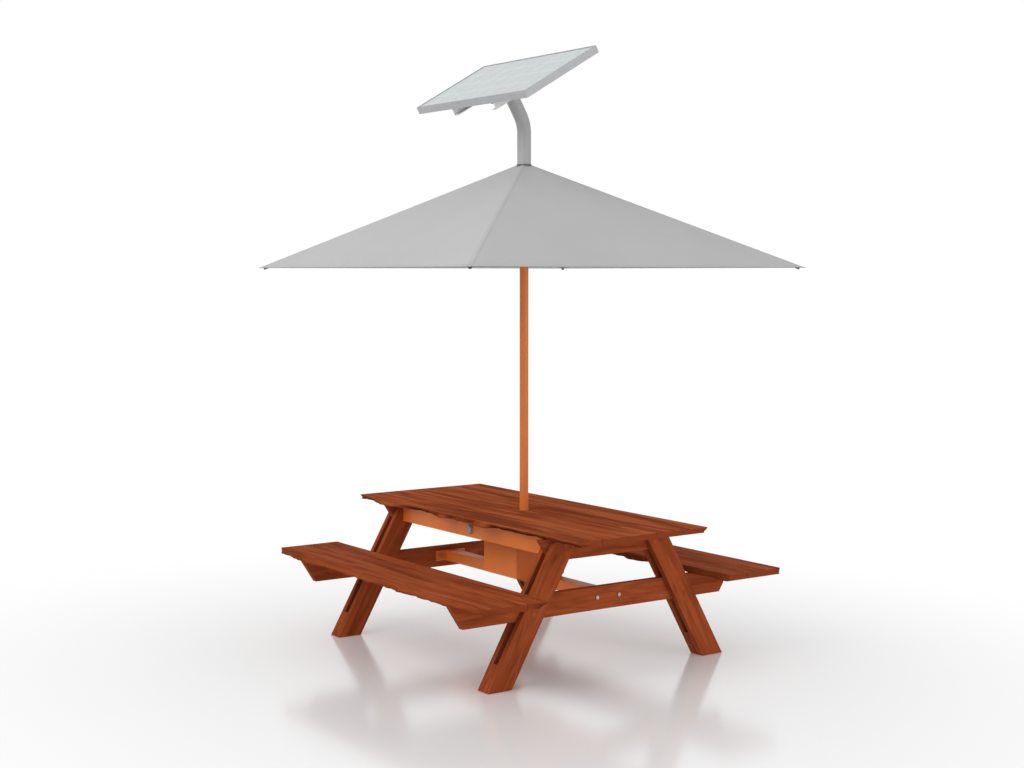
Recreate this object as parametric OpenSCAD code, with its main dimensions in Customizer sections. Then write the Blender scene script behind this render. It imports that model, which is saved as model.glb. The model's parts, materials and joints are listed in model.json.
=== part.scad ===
// Charging picnic table: live edge planks on two slotted timber trestles, a steel under frame that carries
// a mast, a fabric canopy above the table and a solar panel on a bent pole over the canopy.
// X runs along the table, Y across it and Z up. The origin is on the floor under the mast.

/* [Tabletop] */
// Length of the tabletop
top_length = 2100; // [1900:10:2140]
// Width of the tabletop over its planed top edges
top_width = 860; // [820:5:940]
// Height of the tabletop's upper face above the floor
top_height = 750; // [730:5:790]
// Thickness of the top planks
top_t = 28; // [24:1:40]
// Joint between neighbouring planks
plank_gap = 1.5; // [0.5:0.5:4]
// How far the middle of the table lies from the mast along X
table_shift = -20; // [-30:5:30]

/* [Benches] */
// Length of the benches
bench_length = 2100; // [1900:10:2140]
// Height of the seats above the floor
bench_height = 484; // [470:2:500]
// Thickness of the bench planks
bench_t = 34; // [28:1:40]
// Inner edge of each bench from the middle of the table
bench_inner = 580; // [560:5:600]
// Outer edge of each bench from the middle of the table
bench_outer = 950; // [900:5:1000]
// Joint between a bench's two planks from the middle of the table
bench_joint = 709; // [695:1:720]

/* [Trestles] */
// Middle of each trestle from the middle of the table
trestle_half = 750; // [650:10:820]
// Thickness of a leg board
board_t = 30; // [26:1:36]
// Thickness of the cross beams that pass through the leg slots
beam_t = 34; // [30:1:40]
// Clearance on each side of a cross beam in its slot
timber_gap = 0.3; // [0.2:0.1:0.6]
// Width of a leg, square to its length
leg_w = 122; // [112:1:130]
// Lean of the legs from upright, in degrees
leg_lean = 29.7; // [28:0.1:31]
// Middle of each foot from the middle of the table
foot_y = 696; // [680:2:710]
// Height of the spacer that closes the slot at the foot
spacer_h = 130; // [90:5:200]
// Depth of the seat cross beams
seat_beam_h = 120; // [112:1:126]
// Reach of the seat beams on the left, at their upper edge
seat_beam_left = 970; // [940:5:990]
// Reach of the seat beams on the right, at their upper edge
seat_beam_right = 845; // [835:5:900]
// Depth of the top cross beams
top_beam_h = 112; // [106:1:120]
// Reach of the top beams on the left, at their upper edge
top_beam_left = 432; // [425:1:440]
// Reach of the top beams on the right, at their upper edge
top_beam_right = 352; // [348:1:360]
// Run of the bevel on a beam's end for each millimetre of its depth
bevel_slope = 0.64; // [0.4:0.02:0.66]

/* [Timber fixings] */
// Shank diameter of the leg bolts
leg_bolt_d = 10; // [8:1:12]
// Head diameter of the leg bolts
leg_bolt_head_d = 20; // [18:1:22]
// Thickness of the leg bolts' heads and nuts
leg_bolt_head_t = 6; // [5:1:8]
// Diameter of the wooden plugs over the bolts
plug_d = 24; // [23:1:26]
// Thickness of the wooden plugs
plug_t = 5; // [3:1:7]
// Spacing of the two bolts at a seat beam, measured up the leg's height
seat_bolt_pitch = 56; // [44:2:60]
// Depth of the upper bolt in each leg's head, below the planks
head_bolt_hi = 30; // [27:1:34]
// Distance of the upper bolt from the leg's middle
head_bolt_hi_in = 5; // [0:1:10]
// Depth of the lower bolt in each leg's head, below the planks
head_bolt_lo = 74; // [68:1:80]
// Distance of the lower bolt from the leg's middle
head_bolt_lo_in = 40; // [36:1:44]
// Diameter of the plank screws
screw_d = 8; // [6:1:9]
// Head diameter of the plank screws
screw_head_d = 15; // [14:1:16]
// Head thickness of the plank screws
screw_head_t = 4; // [3:1:6]
// Depth that a plank screw reaches into its plank
screw_bite = 20; // [12:1:22]
// Place of the inner bench screws from the middle of the table
bench_screw_in = 645; // [630:5:660]
// Place of the outer bench screws from the middle of the table
bench_screw_out = 745; // [735:1:748]
// Clearance round a bolt or screw in its hole
bolt_gap = 0.3; // [0.2:0.1:0.5]
// Width of the rubber ring round the mast in the tabletop
grommet_w = 3; // [2:0.5:4]

/* [Under frame] */
// Outer faces of the side channels from the middle of the table
channel_y = 340; // [330:2:350]
// Depth of the side channels
channel_h = 95; // [90:1:104]
// Width of the side channels' flanges
channel_flange = 40; // [34:1:46]
// Thickness of the side channels' steel
channel_wall = 3; // [2:0.5:4]
// Thickness of the side channels' end plates
end_plate_t = 5; // [4:0.5:8]
// Depth that an end plate's screw reaches into its leg
end_screw_bite = 22; // [16:1:26]
// Head diameter of the end plates' screws
end_head_d = 14; // [13:1:16]
// Head thickness of the end plates' screws
end_head_t = 5; // [4:0.5:6]
// Spacing of the screws along a side channel
flange_screw_pitch = 400; // [300:10:450]
// Shank diameter of the screws along a side channel
flange_screw_d = 5; // [4:0.5:6]
// Head diameter of the screws along a side channel
flange_head_d = 10; // [9:0.5:12]
// Head thickness of the screws along a side channel
flange_head_t = 2.5; // [2:0.5:4]
// Depth of the cross members
cross_h = 80; // [60:5:84]
// Width of the cross members
cross_w = 40; // [30:5:50]
// Middle of each cross member from the mast
cross_half = 110; // [95:5:120]
// Thickness of the mast plate
mast_plate_t = 6; // [5:1:10]
// Length of the mast plate across the table
mast_plate_w = 170; // [150:10:200]
// Outer diameter of the mast sleeve
sleeve_d = 63; // [58:1:70]
// Height of the mast sleeve above its plate
sleeve_h = 70; // [50:5:80]
// Spacing of the collar bolts across the table
collar_pitch = 120; // [100:5:130]
// Shank diameter of the frame bolts
frame_bolt_d = 10; // [8:1:12]
// Head diameter of the frame bolts
frame_head_d = 20; // [18:1:22]
// Head thickness of the frame bolts
frame_head_t = 6; // [5:0.5:8]
// Width of the lower rail
rail_w = 70; // [60:2:80]
// Depth of the lower rail
rail_h = 60; // [50:2:70]
// Wall of the lower rail
rail_wall = 3; // [2:0.5:4]
// Height of the lower rail's middle above the floor
rail_z = 394; // [390:1:400]
// Width of the lower rail's end plates
rail_plate_w = 200; // [190:5:220]
// Thickness of the lower rail's end plates
rail_plate_t = 6; // [5:1:8]
// Spacing of the lower rail's bolts
rail_bolt_pitch = 142; // [130:2:160]

/* [Mast and pole] */
// Outer diameter of the mast
mast_d = 48.3; // [45:0.1:51]
// Wall of the mast
mast_wall = 3; // [2:0.5:4]
// Length of the mast's foot plate
foot_plate_l = 110; // [90:5:130]
// Thickness of the mast's foot plate
foot_plate_t = 8; // [6:1:10]
// Diameter of the hole in the mast for the wires
wire_hole_d = 16; // [12:1:20]
// Depth of the mast's wire hole below the cabinet's roof
wire_hole_below = 60; // [50:5:80]
// Spacing of the two bolts in the foot plate
foot_pitch = 82; // [80:1:86]
// Outer diameter of the upper pole
pole_d = 76.1; // [74:0.1:80]
// Wall of the upper pole
pole_wall = 3; // [2.5:0.5:3.5]
// Height at which the upper pole starts to bend
pole_bend_z = 2810; // [2780:5:2850]
// Radius of the upper pole's bend, to its middle line
pole_bend_r = 190; // [150:5:240]
// Straight length of the upper pole past its bend
pole_arm_l = 138; // [100:2:180]
// Hair gap between two welded pieces
weld_gap = 0.02; // [0.01:0.01:0.05]
// Clearance between parts that slip over each other
slip_gap = 0.3; // [0.2:0.1:0.5]

/* [Canopy] */
// Side of the square canopy at its eaves
canopy_side = 2140; // [2140:10:2300]
// Height of the eaves above the floor
eave_z = 2083; // [2000:5:2120]
// Rise of the canopy from the eaves to its point
canopy_rise = 572; // [500:5:600]
// Thickness of the canopy's cloth and lining
cloth_t = 3; // [2:0.5:5]
// Clearance between the cloth and what it lies on
cloth_gap = 0.3; // [0.2:0.1:1]
// Outer diameter of the ribs
rib_d = 18; // [16:1:22]
// Wall of the ribs
rib_wall = 2; // [1.5:0.5:2.5]
// Distance of the rib ends from the canopy's corners, measured level
rib_inset = 34; // [30:1:60]
// Lip of the hub's shoulder round the upper pole
shoulder_lip = 2; // [1:0.5:3]
// Thickness of the hub's shoulder
shoulder_t = 12; // [10:1:16]
// Top of the hub's shoulder below the canopy's point
shoulder_below = 11; // [10:1:14]
// Length of the hub below its shoulder
hub_drop = 150; // [130:5:180]
// Length of the hub's rib spigots, from inside its wall
rib_spigot = 90; // [80:5:120]
// Length of the hub's spigot inside the upper pole
hub_spigot = 110; // [80:5:150]

/* [Solar panel] */
// Length of the panel
panel_l = 1035; // [950:5:1100]
// Width of the panel
panel_w = 524; // [480:4:560]
// Thickness of the panel's frame
panel_t = 40; // [35:1:45]
// Tilt of the panel from level, in degrees
panel_tilt = 30; // [20:1:40]
// Wall of the panel's frame
panel_wall = 2; // [1.5:0.5:3]
// Width of the frame's lip over the glass
panel_lip = 9; // [7:1:12]
// Thickness of the glass
glass_t = 5; // [4:1:7]
// Width of the frame's foot flange
panel_foot = 24; // [18:1:30]
// Middle of each rail under the panel from the middle of the panel
rail_spread = 180; // [150:5:220]
// Width of the rails under the panel
prail_w = 38; // [32:1:44]
// Depth of the rails under the panel
prail_d = 41; // [36:1:46]
// Wall of the rails under the panel
prail_wall = 3; // [2:0.5:4]
// Distance of the rails' ends from the panel's edges
prail_inset = 8; // [4:1:14]
// Thickness of the pole's head plate
head_plate_t = 8; // [6:1:10]
// Side of the pole's head plate
head_plate_w = 150; // [140:5:160]
// Spacing of the head plate's bolts along the panel
head_pitch = 116; // [110:2:120]
// Distance of the head plate's bolts from its middle, across the panel
head_v = 12; // [10:1:16]
// Shank diameter of the panel's bolts
panel_bolt_d = 8; // [6:1:8]
// Head diameter of the panel's bolts
panel_head_d = 15; // [14:1:16]
// Head thickness of the panel's bolts
panel_head_t = 5; // [4:0.5:6]
// Thickness of the ledge under the glass
ledge_t = 2; // [1.5:0.5:3]
// Side of the junction box under the glass
jbox_w = 110; // [90:5:130]
// Depth of the junction box
jbox_t = 24; // [18:1:30]

/* [Cabinet] */
// Width of the cabinet along the table
cab_w = 312; // [300:2:330]
// Depth of the cabinet across the table
cab_d = 320; // [310:2:340]
// Thickness of the cabinet's sheet steel
cab_wall = 2; // [1.5:0.5:3]
// Clearance of the cabinet round the mast and its foot
cab_clear = 1; // [0.5:0.5:3]
// Drop of the skirt below the cabinet's floor
skirt_h = 19; // [10:1:24]
// Width of the lip round the door opening
lip_w = 15; // [14:1:18]
// Depth of the door
door_d = 8; // [7:1:12]
// Gap between the door and the edge of the cabinet's face
door_margin = 4; // [3:1:6]
// Gap between the door's rim and the lip
door_gap = 0.5; // [0.4:0.1:1]
// Diameter of the hinge knuckles
knuckle_d = 9; // [8.5:0.5:10]
// Length of each hinge knuckle
knuckle_l = 20; // [16:1:24]
// Diameter of the hinge pins
pin_d = 4.8; // [4.4:0.1:5]
// Running clearance round pins and plugs
run_gap = 0.06; // [0.04:0.01:0.1]
// Distance of the lock from the cabinet's edge
lock_in = 26; // [26:1:32]
// Width of the door's seal
seal_w = 5; // [4:0.5:6]
// Diameter of the lock's barrel
lock_d = 18; // [16:1:18]
// Diameter of the lock's turning plug
lock_plug_d = 12; // [10:1:12]
// Reach of the lock's cam from its axis
cam_reach = 20; // [18:1:21]
// Thickness of the lock's cam
cam_t = 3; // [2.5:0.5:4]
// Thickness of the lock's outer flange
lock_flange_t = 3; // [2:0.5:4]
// Thickness of the lock's nut
lock_nut_t = 4; // [3:0.5:5]

/* [Equipment] */
// Battery length
batt_l = 181; // [150:1:200]
// Battery width
batt_w = 77; // [65:1:90]
// Battery height
batt_h = 160; // [120:1:165]
// Width of the charge controller
ctrl_w = 120; // [100:5:130]
// Height of the charge controller
ctrl_h = 84; // [70:2:100]
// Depth of the charge controller
ctrl_d = 36; // [28:1:44]
// Side of the isolator's base
iso_w = 52; // [44:1:60]
// Depth of the isolator's base
iso_d = 28; // [22:1:34]
// Diameter of the isolator's knob
knob_d = 38; // [32:1:42]
// Depth of the isolator's knob
knob_t = 20; // [16:1:24]
// Diameter of the isolator's spindle
spindle_d = 8; // [6:1:10]
// Middle of the isolator from the mast
iso_x = 90; // [85:1:95]
// Middle of the charge controller from the mast
ctrl_x = -60; // [-66:1:-50]
// Height of the controller and the isolator above the cabinet's floor
gear_up = 100; // [80:5:110]

/* [Sockets] */
// Diameter of a charging socket's bezel
bezel_d = 50; // [44:1:52]
// Depth of the bezel outside the channel
bezel_t = 5; // [4:0.5:8]
// Diameter of the socket's body behind the channel's face
body_d = 30; // [28:1:34]
// Length of the socket's body
body_l = 34; // [28:1:38]
// Height of the sockets above the channels' lower edges
socket_up = 44; // [42:1:48]
// Thickness of the dust caps
cap_t = 6; // [5:0.5:8]
// Diameter of the dust caps
cap_d = 40; // [34:1:42]
// Distance of the bezel's ears from its middle
ear_x = 8; // [7:0.5:10]
// Width of the bezel's ears
ear_t = 4; // [3:0.5:5]
// Diameter of the ears and lugs round the pins
lug_d = 4.8; // [4.2:0.2:5.4]
// Diameter of the dust caps' pins
cap_pin_d = 2.4; // [2:0.1:2.6]

/* [Hidden] */
$fn = 48;

FRONT = 1;
BACK = -1;
LEFT = -1;
RIGHT = 1;
OUTER = 1;
INNER = -1;
EPS = 1;

// Heights that the timber parts share
under_z = top_height - top_t;
bench_z = bench_height - bench_t;
joint_in = bench_joint - plank_gap / 2;
joint_out = bench_joint + plank_gap / 2;
slot_w = beam_t + 2 * timber_gap;
leg_t = slot_w + 2 * board_t;
leg_tan = tan(leg_lean);
leg_half = leg_w / 2 / cos(leg_lean);
plug_well = plug_t + leg_bolt_head_t + bolt_gap;

// Heights that the steel parts share
rail_top = rail_z + rail_h / 2;
rail_bolt_y = [-rail_bolt_pitch / 2, rail_bolt_pitch / 2];
channel_z = under_z - channel_h;
cross_z = channel_z + channel_wall;
mast_plate_z = cross_z - mast_plate_t;
mast_x = -table_shift;
channel_end = trestle_half - leg_t / 2;
channel_screw_x = [for (i = [-1.5 : 1 : 1.5]) i * flange_screw_pitch];
channel_screw_y = channel_y - channel_flange / 2;
end_screw_z = [channel_z + 24, under_z - 24];
socket_z = channel_z + socket_up;

// Canopy geometry: slope of a face, slope of a ridge and the cosine between the two seen along the ridge
face_slope = atan(2 * canopy_rise / canopy_side);
ridge_slope = atan(sqrt(2) * canopy_rise / canopy_side);
corner_cos = sin(face_slope) * sin(ridge_slope) / sqrt(2) + cos(face_slope) * cos(ridge_slope);
apex_z = eave_z + canopy_rise;
cloth_drop = cloth_t / cos(face_slope);
rib_axis_z = apex_z - cloth_drop - (rib_d / 2 + cloth_gap) / corner_cos / cos(ridge_slope);
rib_bore = rib_d - 2 * rib_wall;
rib_end = (canopy_side / sqrt(2) - rib_inset) / cos(ridge_slope);
shoulder_z = apex_z - shoulder_below;
shoulder_d = pole_d + 2 * shoulder_lip;
pole_bore = pole_d - 2 * pole_wall;
hub_r = pole_bore / 2 - slip_gap;
rib_start = (hub_r + 6) / cos(ridge_slope);
mast_top = shoulder_z;
foot_bolt_x = [-foot_pitch / 2, foot_pitch / 2];
foot_plate_z = rail_top + foot_plate_t;

// Levels above the pole's head, square to the panel
tube_z = head_plate_t;
frame_z = tube_z + prail_d;
glass_z = frame_z + panel_t - panel_wall - slip_gap - glass_t;
foot_bolt_v = panel_w / 2 - panel_foot / 2 - 1;

// Cabinet geometry
cab_top = mast_plate_z;
cab_floor = rail_top;
cab_y = cab_d / 2;
cab_x = cab_w / 2;
hinge_x = -cab_x - knuckle_d / 2 - 0.5;
hinge_y = cab_y + knuckle_d / 2;
door_lo = cab_floor + door_margin;
door_hi = cab_top - door_margin;
door_front = cab_y + door_gap + door_d;
hinge_z = [door_lo + 22, door_hi - 22 - 2 * knuckle_l];
lock_x = cab_x - lock_in;
lock_z = (door_lo + door_hi) / 2;
cam_back = cab_y - cab_wall - slip_gap - cam_t;
plate_y = mast_d / 2 + 8;
gear_z = cab_floor + gear_up;
iso_y = plate_y + cab_wall;

// Dust cap geometry
cap_y = channel_y + bezel_t;
cap_pin_y = cap_y + cap_t / 2;
cap_pin_z = socket_z + bezel_d / 2 - 4;

// Live edges: place along half the plank's length, and how far the lower edge is cut back there
EDGE_TOP_LEFT = [[-1, 35], [-0.92, 36], [-0.79, -9], [-0.71, -14], [-0.5, 22], [-0.42, 52], [-0.34, 48],
  [-0.24, 17], [-0.15, -10], [-0.07, 28], [0, 12], [0.1, 8], [0.19, -6], [0.25, -13], [0.31, 42], [0.4, 38],
  [0.51, 40], [0.6, 48], [0.76, 32], [0.9, 46], [1, 34]];
EDGE_TOP_RIGHT = [[-1, 24], [-0.84, 40], [-0.66, 6], [-0.5, -6], [-0.3, 30], [-0.12, 44], [0.05, 10],
  [0.22, -4], [0.4, 26], [0.58, 38], [0.74, 6], [0.88, 20], [1, 30]];
EDGE_BENCH_OUT_LEFT = [[-1, -8], [-0.86, -2], [-0.75, -22], [-0.68, -35], [-0.57, -20], [-0.45, -11],
  [-0.26, -16], [-0.1, -22], [0.1, -20], [0.25, -28], [0.42, -26], [0.6, -22], [0.75, -20], [0.9, -8],
  [1, 8]];
EDGE_BENCH_IN_LEFT = [[-1, 14], [-0.84, 18], [-0.57, 42], [-0.4, 30], [-0.2, 16], [0, 12], [0.3, 10],
  [0.55, -4], [0.72, -14], [0.86, 20], [1, 58]];
EDGE_BENCH_IN_RIGHT = [[-1, 20], [-0.7, 4], [-0.45, 26], [-0.2, -4], [0.05, 15], [0.14, 8], [0.24, -16],
  [0.31, -8], [0.35, 16], [0.5, 22], [0.7, -8], [0.86, -4], [1, -16]];
EDGE_BENCH_OUT_RIGHT = [[-1, 0], [-0.6, -10], [-0.2, 8], [0.3, -8], [0.7, 4], [1, -8]];
EDGE_STEPS = 48;

// Smooth blend between two neighbouring entries of a live edge
function ease(t) = t * t * (3 - 2 * t);
function edge_cut(edge, s, i = 0) =
  i >= len(edge) - 2 || s <= edge[i + 1][0]
    ? edge[i][1] + (edge[i + 1][1] - edge[i][1])
      * ease((s - edge[i][0]) / (edge[i + 1][0] - edge[i][0]))
    : edge_cut(edge, s, i + 1);

// Middle of a leg at a height
function leg_y(z) = foot_y - z * leg_tan;

// Bolts through a leg, as places across the table and heights
function seat_bolts() = [for (d = [-1, 1])
  let (z = bench_z - seat_beam_h / 2 + d * seat_bolt_pitch / 2) [leg_y(z), z]];
function top_bolts() = [
  [leg_y(under_z - head_bolt_hi) - head_bolt_hi_in, under_z - head_bolt_hi],
  [leg_y(under_z - head_bolt_lo) - head_bolt_lo_in, under_z - head_bolt_lo]];
function leg_bolts_yz() = concat(seat_bolts(), top_bolts());

// Middle of each top plank
plank_w = (top_width - 4 * plank_gap) / 5;
function plank_mid(i) = (i - 3) * (plank_w + plank_gap);

// Places of the screws that hold the planks, across the table
bench_screws = [-bench_screw_out, -bench_screw_in, bench_screw_in, bench_screw_out];
top_screws = [for (i = [2 : 4]) plank_mid(i)];

// Moves the table's own parts from the middle of the table to the mast's frame
module at_table() { translate([table_shift, 0, 0]) children(); }

// Diameter of the hole for a bolt or screw
function hole(d) = d + 2 * bolt_gap;

// Cylinder along X between two places
module rod_x(a, b, d, y, z) {
  translate([min(a, b), y, z]) rotate([0, 90, 0]) cylinder(h = abs(b - a), d = d);
}

// Cylinder along Y between two places
module rod_y(a, b, d, x, z) {
  translate([x, min(a, b), z]) rotate([-90, 0, 0]) cylinder(h = abs(b - a), d = d);
}

// Cylinder along Z between two places
module rod_z(a, b, d, x, y) {
  translate([x, y, min(a, b)]) cylinder(h = abs(b - a), d = d);
}

// Box between two opposite corners
module block(a, b) {
  lo = [for (i = [0 : 2]) min(a[i], b[i])];
  hi = [for (i = [0 : 2]) max(a[i], b[i])];
  translate(lo) cube(hi - lo);
}

// Outline drawn in Y and Z, carried along X
module slab_x(x0, x1, points) {
  translate([x0, 0, 0]) rotate([90, 0, 90]) linear_extrude(x1 - x0) polygon(points);
}

// Plank along X with one sawn edge and one live edge. The live edge keeps its planed upper corner
// and is cut back unevenly below it.
module live_plank(length, live, sawn, z0, t, edge) {
  corner = t / 5;
  flip = live > sawn ? -1 : 1;
  ring = function(s) let (cut = edge_cut(edge, s)) [
    [s * length / 2, flip * sawn, z0],
    [s * length / 2, flip * sawn, z0 + t],
    [s * length / 2, flip * live + 2, z0 + t],
    [s * length / 2, flip * live + 1 + cut * 0.12, z0 + t - corner],
    [s * length / 2, flip * live + cut * 0.75 - min(0, cut) * 0.2, z0 + t * 0.35],
    [s * length / 2, flip * live + cut, z0]];
  n = 6;
  points = [for (i = [0 : EDGE_STEPS]) each ring(-1 + 2 * i / EDGE_STEPS)];
  sides = [for (i = [0 : EDGE_STEPS - 1], j = [0 : n - 1])
    let (k = (j + 1) % n) each [
      [i * n + j, i * n + k, (i + 1) * n + k],
      [i * n + j, (i + 1) * n + k, (i + 1) * n + j]]];
  ends = [[for (j = [n - 1 : -1 : 0]) j], [for (j = [0 : n - 1]) EDGE_STEPS * n + j]];
  mirror([0, flip < 0 ? 1 : 0, 0]) polyhedron(points, concat(sides, ends), convexity = 6);
}

// One sawn plank of the tabletop, with square edges
module sawn_plank(length, a, b, z0, t) {
  block([-length / 2, a, z0], [length / 2, b, z0 + t]);
}

// Blind holes in the planks for the screws that come up through the beams
module plank_screw_holes(places, z0) {
  for (e = [BACK, FRONT], y = places)
    rod_z(z0 - EPS, z0 + screw_bite + bolt_gap, hole(screw_d), e * trestle_half, y);
}

// Screws that come up through the side channels' flanges
module channel_screw_holes(side) {
  for (x = channel_screw_x)
    rod_z(under_z - EPS, under_z + screw_bite + bolt_gap, hole(flange_screw_d), x, side * channel_screw_y);
}

module top_plank(i) {
  mid = plank_mid(i);
  a = mid - plank_w / 2;
  b = mid + plank_w / 2;
  color([0.55, 0.27, 0.14]) at_table() difference() {
    if (i == 1) live_plank(top_length, a, b, under_z, top_t, EDGE_TOP_LEFT);
    else if (i == 5) live_plank(top_length, b, a, under_z, top_t, EDGE_TOP_RIGHT);
    else sawn_plank(top_length, a, b, under_z, top_t);
    if (i == 1) channel_screw_holes(LEFT);
    if (i == 5) channel_screw_holes(RIGHT);
    if (i > 1 && i < 5) plank_screw_holes([mid], under_z);
    if (i == 3) rod_z(under_z - EPS, top_height + EPS, mast_d + 2 * grommet_w, mast_x, 0);
  }
}

// Rubber ring between the mast and the middle plank
module mast_grommet() {
  color([0.12, 0.12, 0.12]) difference() {
    rod_z(under_z, top_height - 0.5, mast_d + 2 * grommet_w - 2 * slip_gap, 0, 0);
    rod_z(under_z - EPS, top_height + EPS, mast_d + 2 * slip_gap, 0, 0);
  }
}

// Bench plank whose live edge is at one place across the table and whose joint edge is at another
module bench_plank(live, joint, screw, edge) {
  color([0.57, 0.28, 0.14]) at_table() difference() {
    live_plank(bench_length, live, joint, bench_z, bench_t, edge);
    plank_screw_holes([screw], bench_z);
  }
}

module left_bench_inner_plank() {
  bench_plank(-bench_inner, -joint_in, -bench_screw_in, EDGE_BENCH_IN_LEFT);
}
module left_bench_outer_plank() {
  bench_plank(-bench_outer, -joint_out, -bench_screw_out, EDGE_BENCH_OUT_LEFT);
}
module right_bench_inner_plank() {
  bench_plank(bench_inner, joint_in, bench_screw_in, EDGE_BENCH_IN_RIGHT);
}
module right_bench_outer_plank() {
  bench_plank(bench_outer, joint_out, bench_screw_out, EDGE_BENCH_OUT_RIGHT);
}

// One board of a leg: a level cut foot and head, with wells for the bolts on its show face
module leg_board(end, side, face) {
  out = end * face;
  inside = end * trestle_half + out * slot_w / 2;
  outside = inside + out * board_t;
  color([0.5, 0.24, 0.12]) at_table() difference() {
    slab_x(min(inside, outside), max(inside, outside), leg_outline(side, under_z));
    for (b = leg_bolts_yz()) {
      rod_x(inside - out * EPS, outside + out * EPS, hole(leg_bolt_d), side * b[0], b[1]);
      rod_x(outside - out * plug_well, outside + out * EPS, plug_d + 2 * bolt_gap, side * b[0], b[1]);
    }
    if (face == INNER)
      for (z = end_screw_z)
        rod_x(outside - out * end_screw_bite, outside + out * EPS, hole(screw_d), side * channel_screw_y, z);
  }
}

// Outline of a leg from the floor up to a height, across the table
function leg_outline(side, z) = [
  [side * (foot_y - leg_half), 0],
  [side * (foot_y + leg_half), 0],
  [side * (leg_y(z) + leg_half), z],
  [side * (leg_y(z) - leg_half), z]];

// Blocks that close the slots at the feet
module leg_spacers() {
  color([0.45, 0.21, 0.11]) at_table() for (end = [BACK, FRONT], side = [LEFT, RIGHT])
    slab_x(end * trestle_half - slot_w / 2, end * trestle_half + slot_w / 2, leg_outline(side, spacer_h));
}

// Cross beam outline with bevelled lower corners
function beam_outline(left, right, z_hi, h) = [
  [-left + h * bevel_slope, z_hi - h],
  [right - h * bevel_slope, z_hi - h],
  [right, z_hi],
  [-left, z_hi]];

// Stepped holes for the plank screws through a beam
module beam_screw_holes(mid, places, z_hi, h) {
  for (y = places) {
    rod_z(z_hi - h - EPS, z_hi + EPS, hole(screw_d), mid, y);
    rod_z(z_hi - h - EPS, z_hi - h / 2, screw_head_d + 4, mid, y);
  }
}

// Cross beam through the slots of one trestle, with its holes
module beam(end, left, right, z_hi, h, bolts, screws) {
  mid = end * trestle_half;
  difference() {
    slab_x(mid - beam_t / 2, mid + beam_t / 2, beam_outline(left, right, z_hi, h));
    for (side = [LEFT, RIGHT], b = bolts)
      rod_x(mid - beam_t, mid + beam_t, hole(leg_bolt_d), side * b[0], b[1]);
    beam_screw_holes(mid, screws, z_hi, h);
  }
}

module seat_beam(end) {
  mid = end * trestle_half;
  color([0.5, 0.24, 0.12]) at_table() difference() {
    beam(end, seat_beam_left, seat_beam_right, bench_z, seat_beam_h, seat_bolts(), bench_screws);
    for (y = rail_bolt_y) rod_x(mid - beam_t, mid + beam_t, hole(frame_bolt_d), y, rail_z);
  }
}

module top_beam(end) {
  color([0.5, 0.24, 0.12]) at_table()
    beam(end, top_beam_left, top_beam_right, under_z, top_beam_h, top_bolts(), top_screws);
}

// Bolts through the legs, each with a round head on the outer board and a nut on the inner board
module leg_bolts() {
  reach = leg_t / 2 - plug_t;
  color([0.72, 0.72, 0.74]) at_table() for (end = [BACK, FRONT], side = [LEFT, RIGHT], b = leg_bolts_yz()) {
    rod_x(end * trestle_half - reach, end * trestle_half + reach, leg_bolt_d, side * b[0], b[1]);
    for (d = [-1, 1]) {
      x = end * trestle_half + d * (reach - leg_bolt_head_t / 2);
      rod_x(x - leg_bolt_head_t / 2, x + leg_bolt_head_t / 2, leg_bolt_head_d, side * b[0], b[1]);
    }
  }
}

// Wooden plugs that hide the bolts, flush with the boards
module bolt_plugs() {
  color([0.45, 0.22, 0.12]) at_table()
    for (end = [BACK, FRONT], side = [LEFT, RIGHT], d = [-1, 1], b = leg_bolts_yz()) {
      x = end * trestle_half + d * (leg_t / 2 - plug_t / 2);
      rod_x(x - plug_t / 2, x + plug_t / 2, plug_d, side * b[0], b[1]);
    }
}

// One plank screw, head downwards, whose head seats on the step half way up a beam
module plank_screw(end, y, z_hi, h) {
  seat = z_hi - h / 2;
  rod_z(seat, z_hi + screw_bite, screw_d, end * trestle_half, y);
  rod_z(seat - screw_head_t, seat, screw_head_d, end * trestle_half, y);
}

module plank_screws() {
  color([0.7, 0.7, 0.72]) at_table() for (end = [BACK, FRONT]) {
    for (y = bench_screws) plank_screw(end, y, bench_z, seat_beam_h);
    for (y = top_screws) plank_screw(end, y, under_z, top_beam_h);
  }
}

// Steel channel under one long side of the tabletop, open towards the middle, with a plate at each end
module side_channel(side) {
  out = side * channel_y;
  web = side * (channel_y - channel_wall);
  lip = side * (channel_y - channel_flange);
  inner_end = channel_end - end_plate_t;
  color([0.8, 0.4, 0.16]) at_table() difference() {
    block([-channel_end, out, channel_z], [channel_end, lip, under_z]);
    block([-inner_end, web, channel_z + channel_wall],
      [inner_end, lip - side * EPS, under_z - channel_wall]);
    rod_y(out + side * EPS, web - side * EPS, body_d + 2 * slip_gap, 0, socket_z);
    for (x = channel_screw_x)
      rod_z(under_z - 2 * channel_wall, under_z + EPS, hole(flange_screw_d), x, side * channel_screw_y);
    for (end = [BACK, FRONT], z = end_screw_z)
      rod_x(end * (inner_end - EPS), end * (channel_end + EPS), hole(screw_d), side * channel_screw_y, z);
  }
}

// Screws from the channels into the outer planks and into the legs
module channel_screws() {
  flange_seat = under_z - channel_wall;
  plate_seat = channel_end - end_plate_t;
  color([0.7, 0.7, 0.72]) at_table() for (side = [LEFT, RIGHT]) {
    y = side * channel_screw_y;
    for (x = channel_screw_x) {
      rod_z(flange_seat, under_z + screw_bite, flange_screw_d, x, y);
      rod_z(flange_seat - flange_head_t, flange_seat, flange_head_d, x, y);
    }
    for (end = [BACK, FRONT], z = end_screw_z) {
      rod_x(end * plate_seat, end * (channel_end + end_screw_bite - 1), screw_d, y, z);
      rod_x(end * plate_seat, end * (plate_seat - end_head_t), end_head_d, y, z);
    }
  }
}

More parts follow.
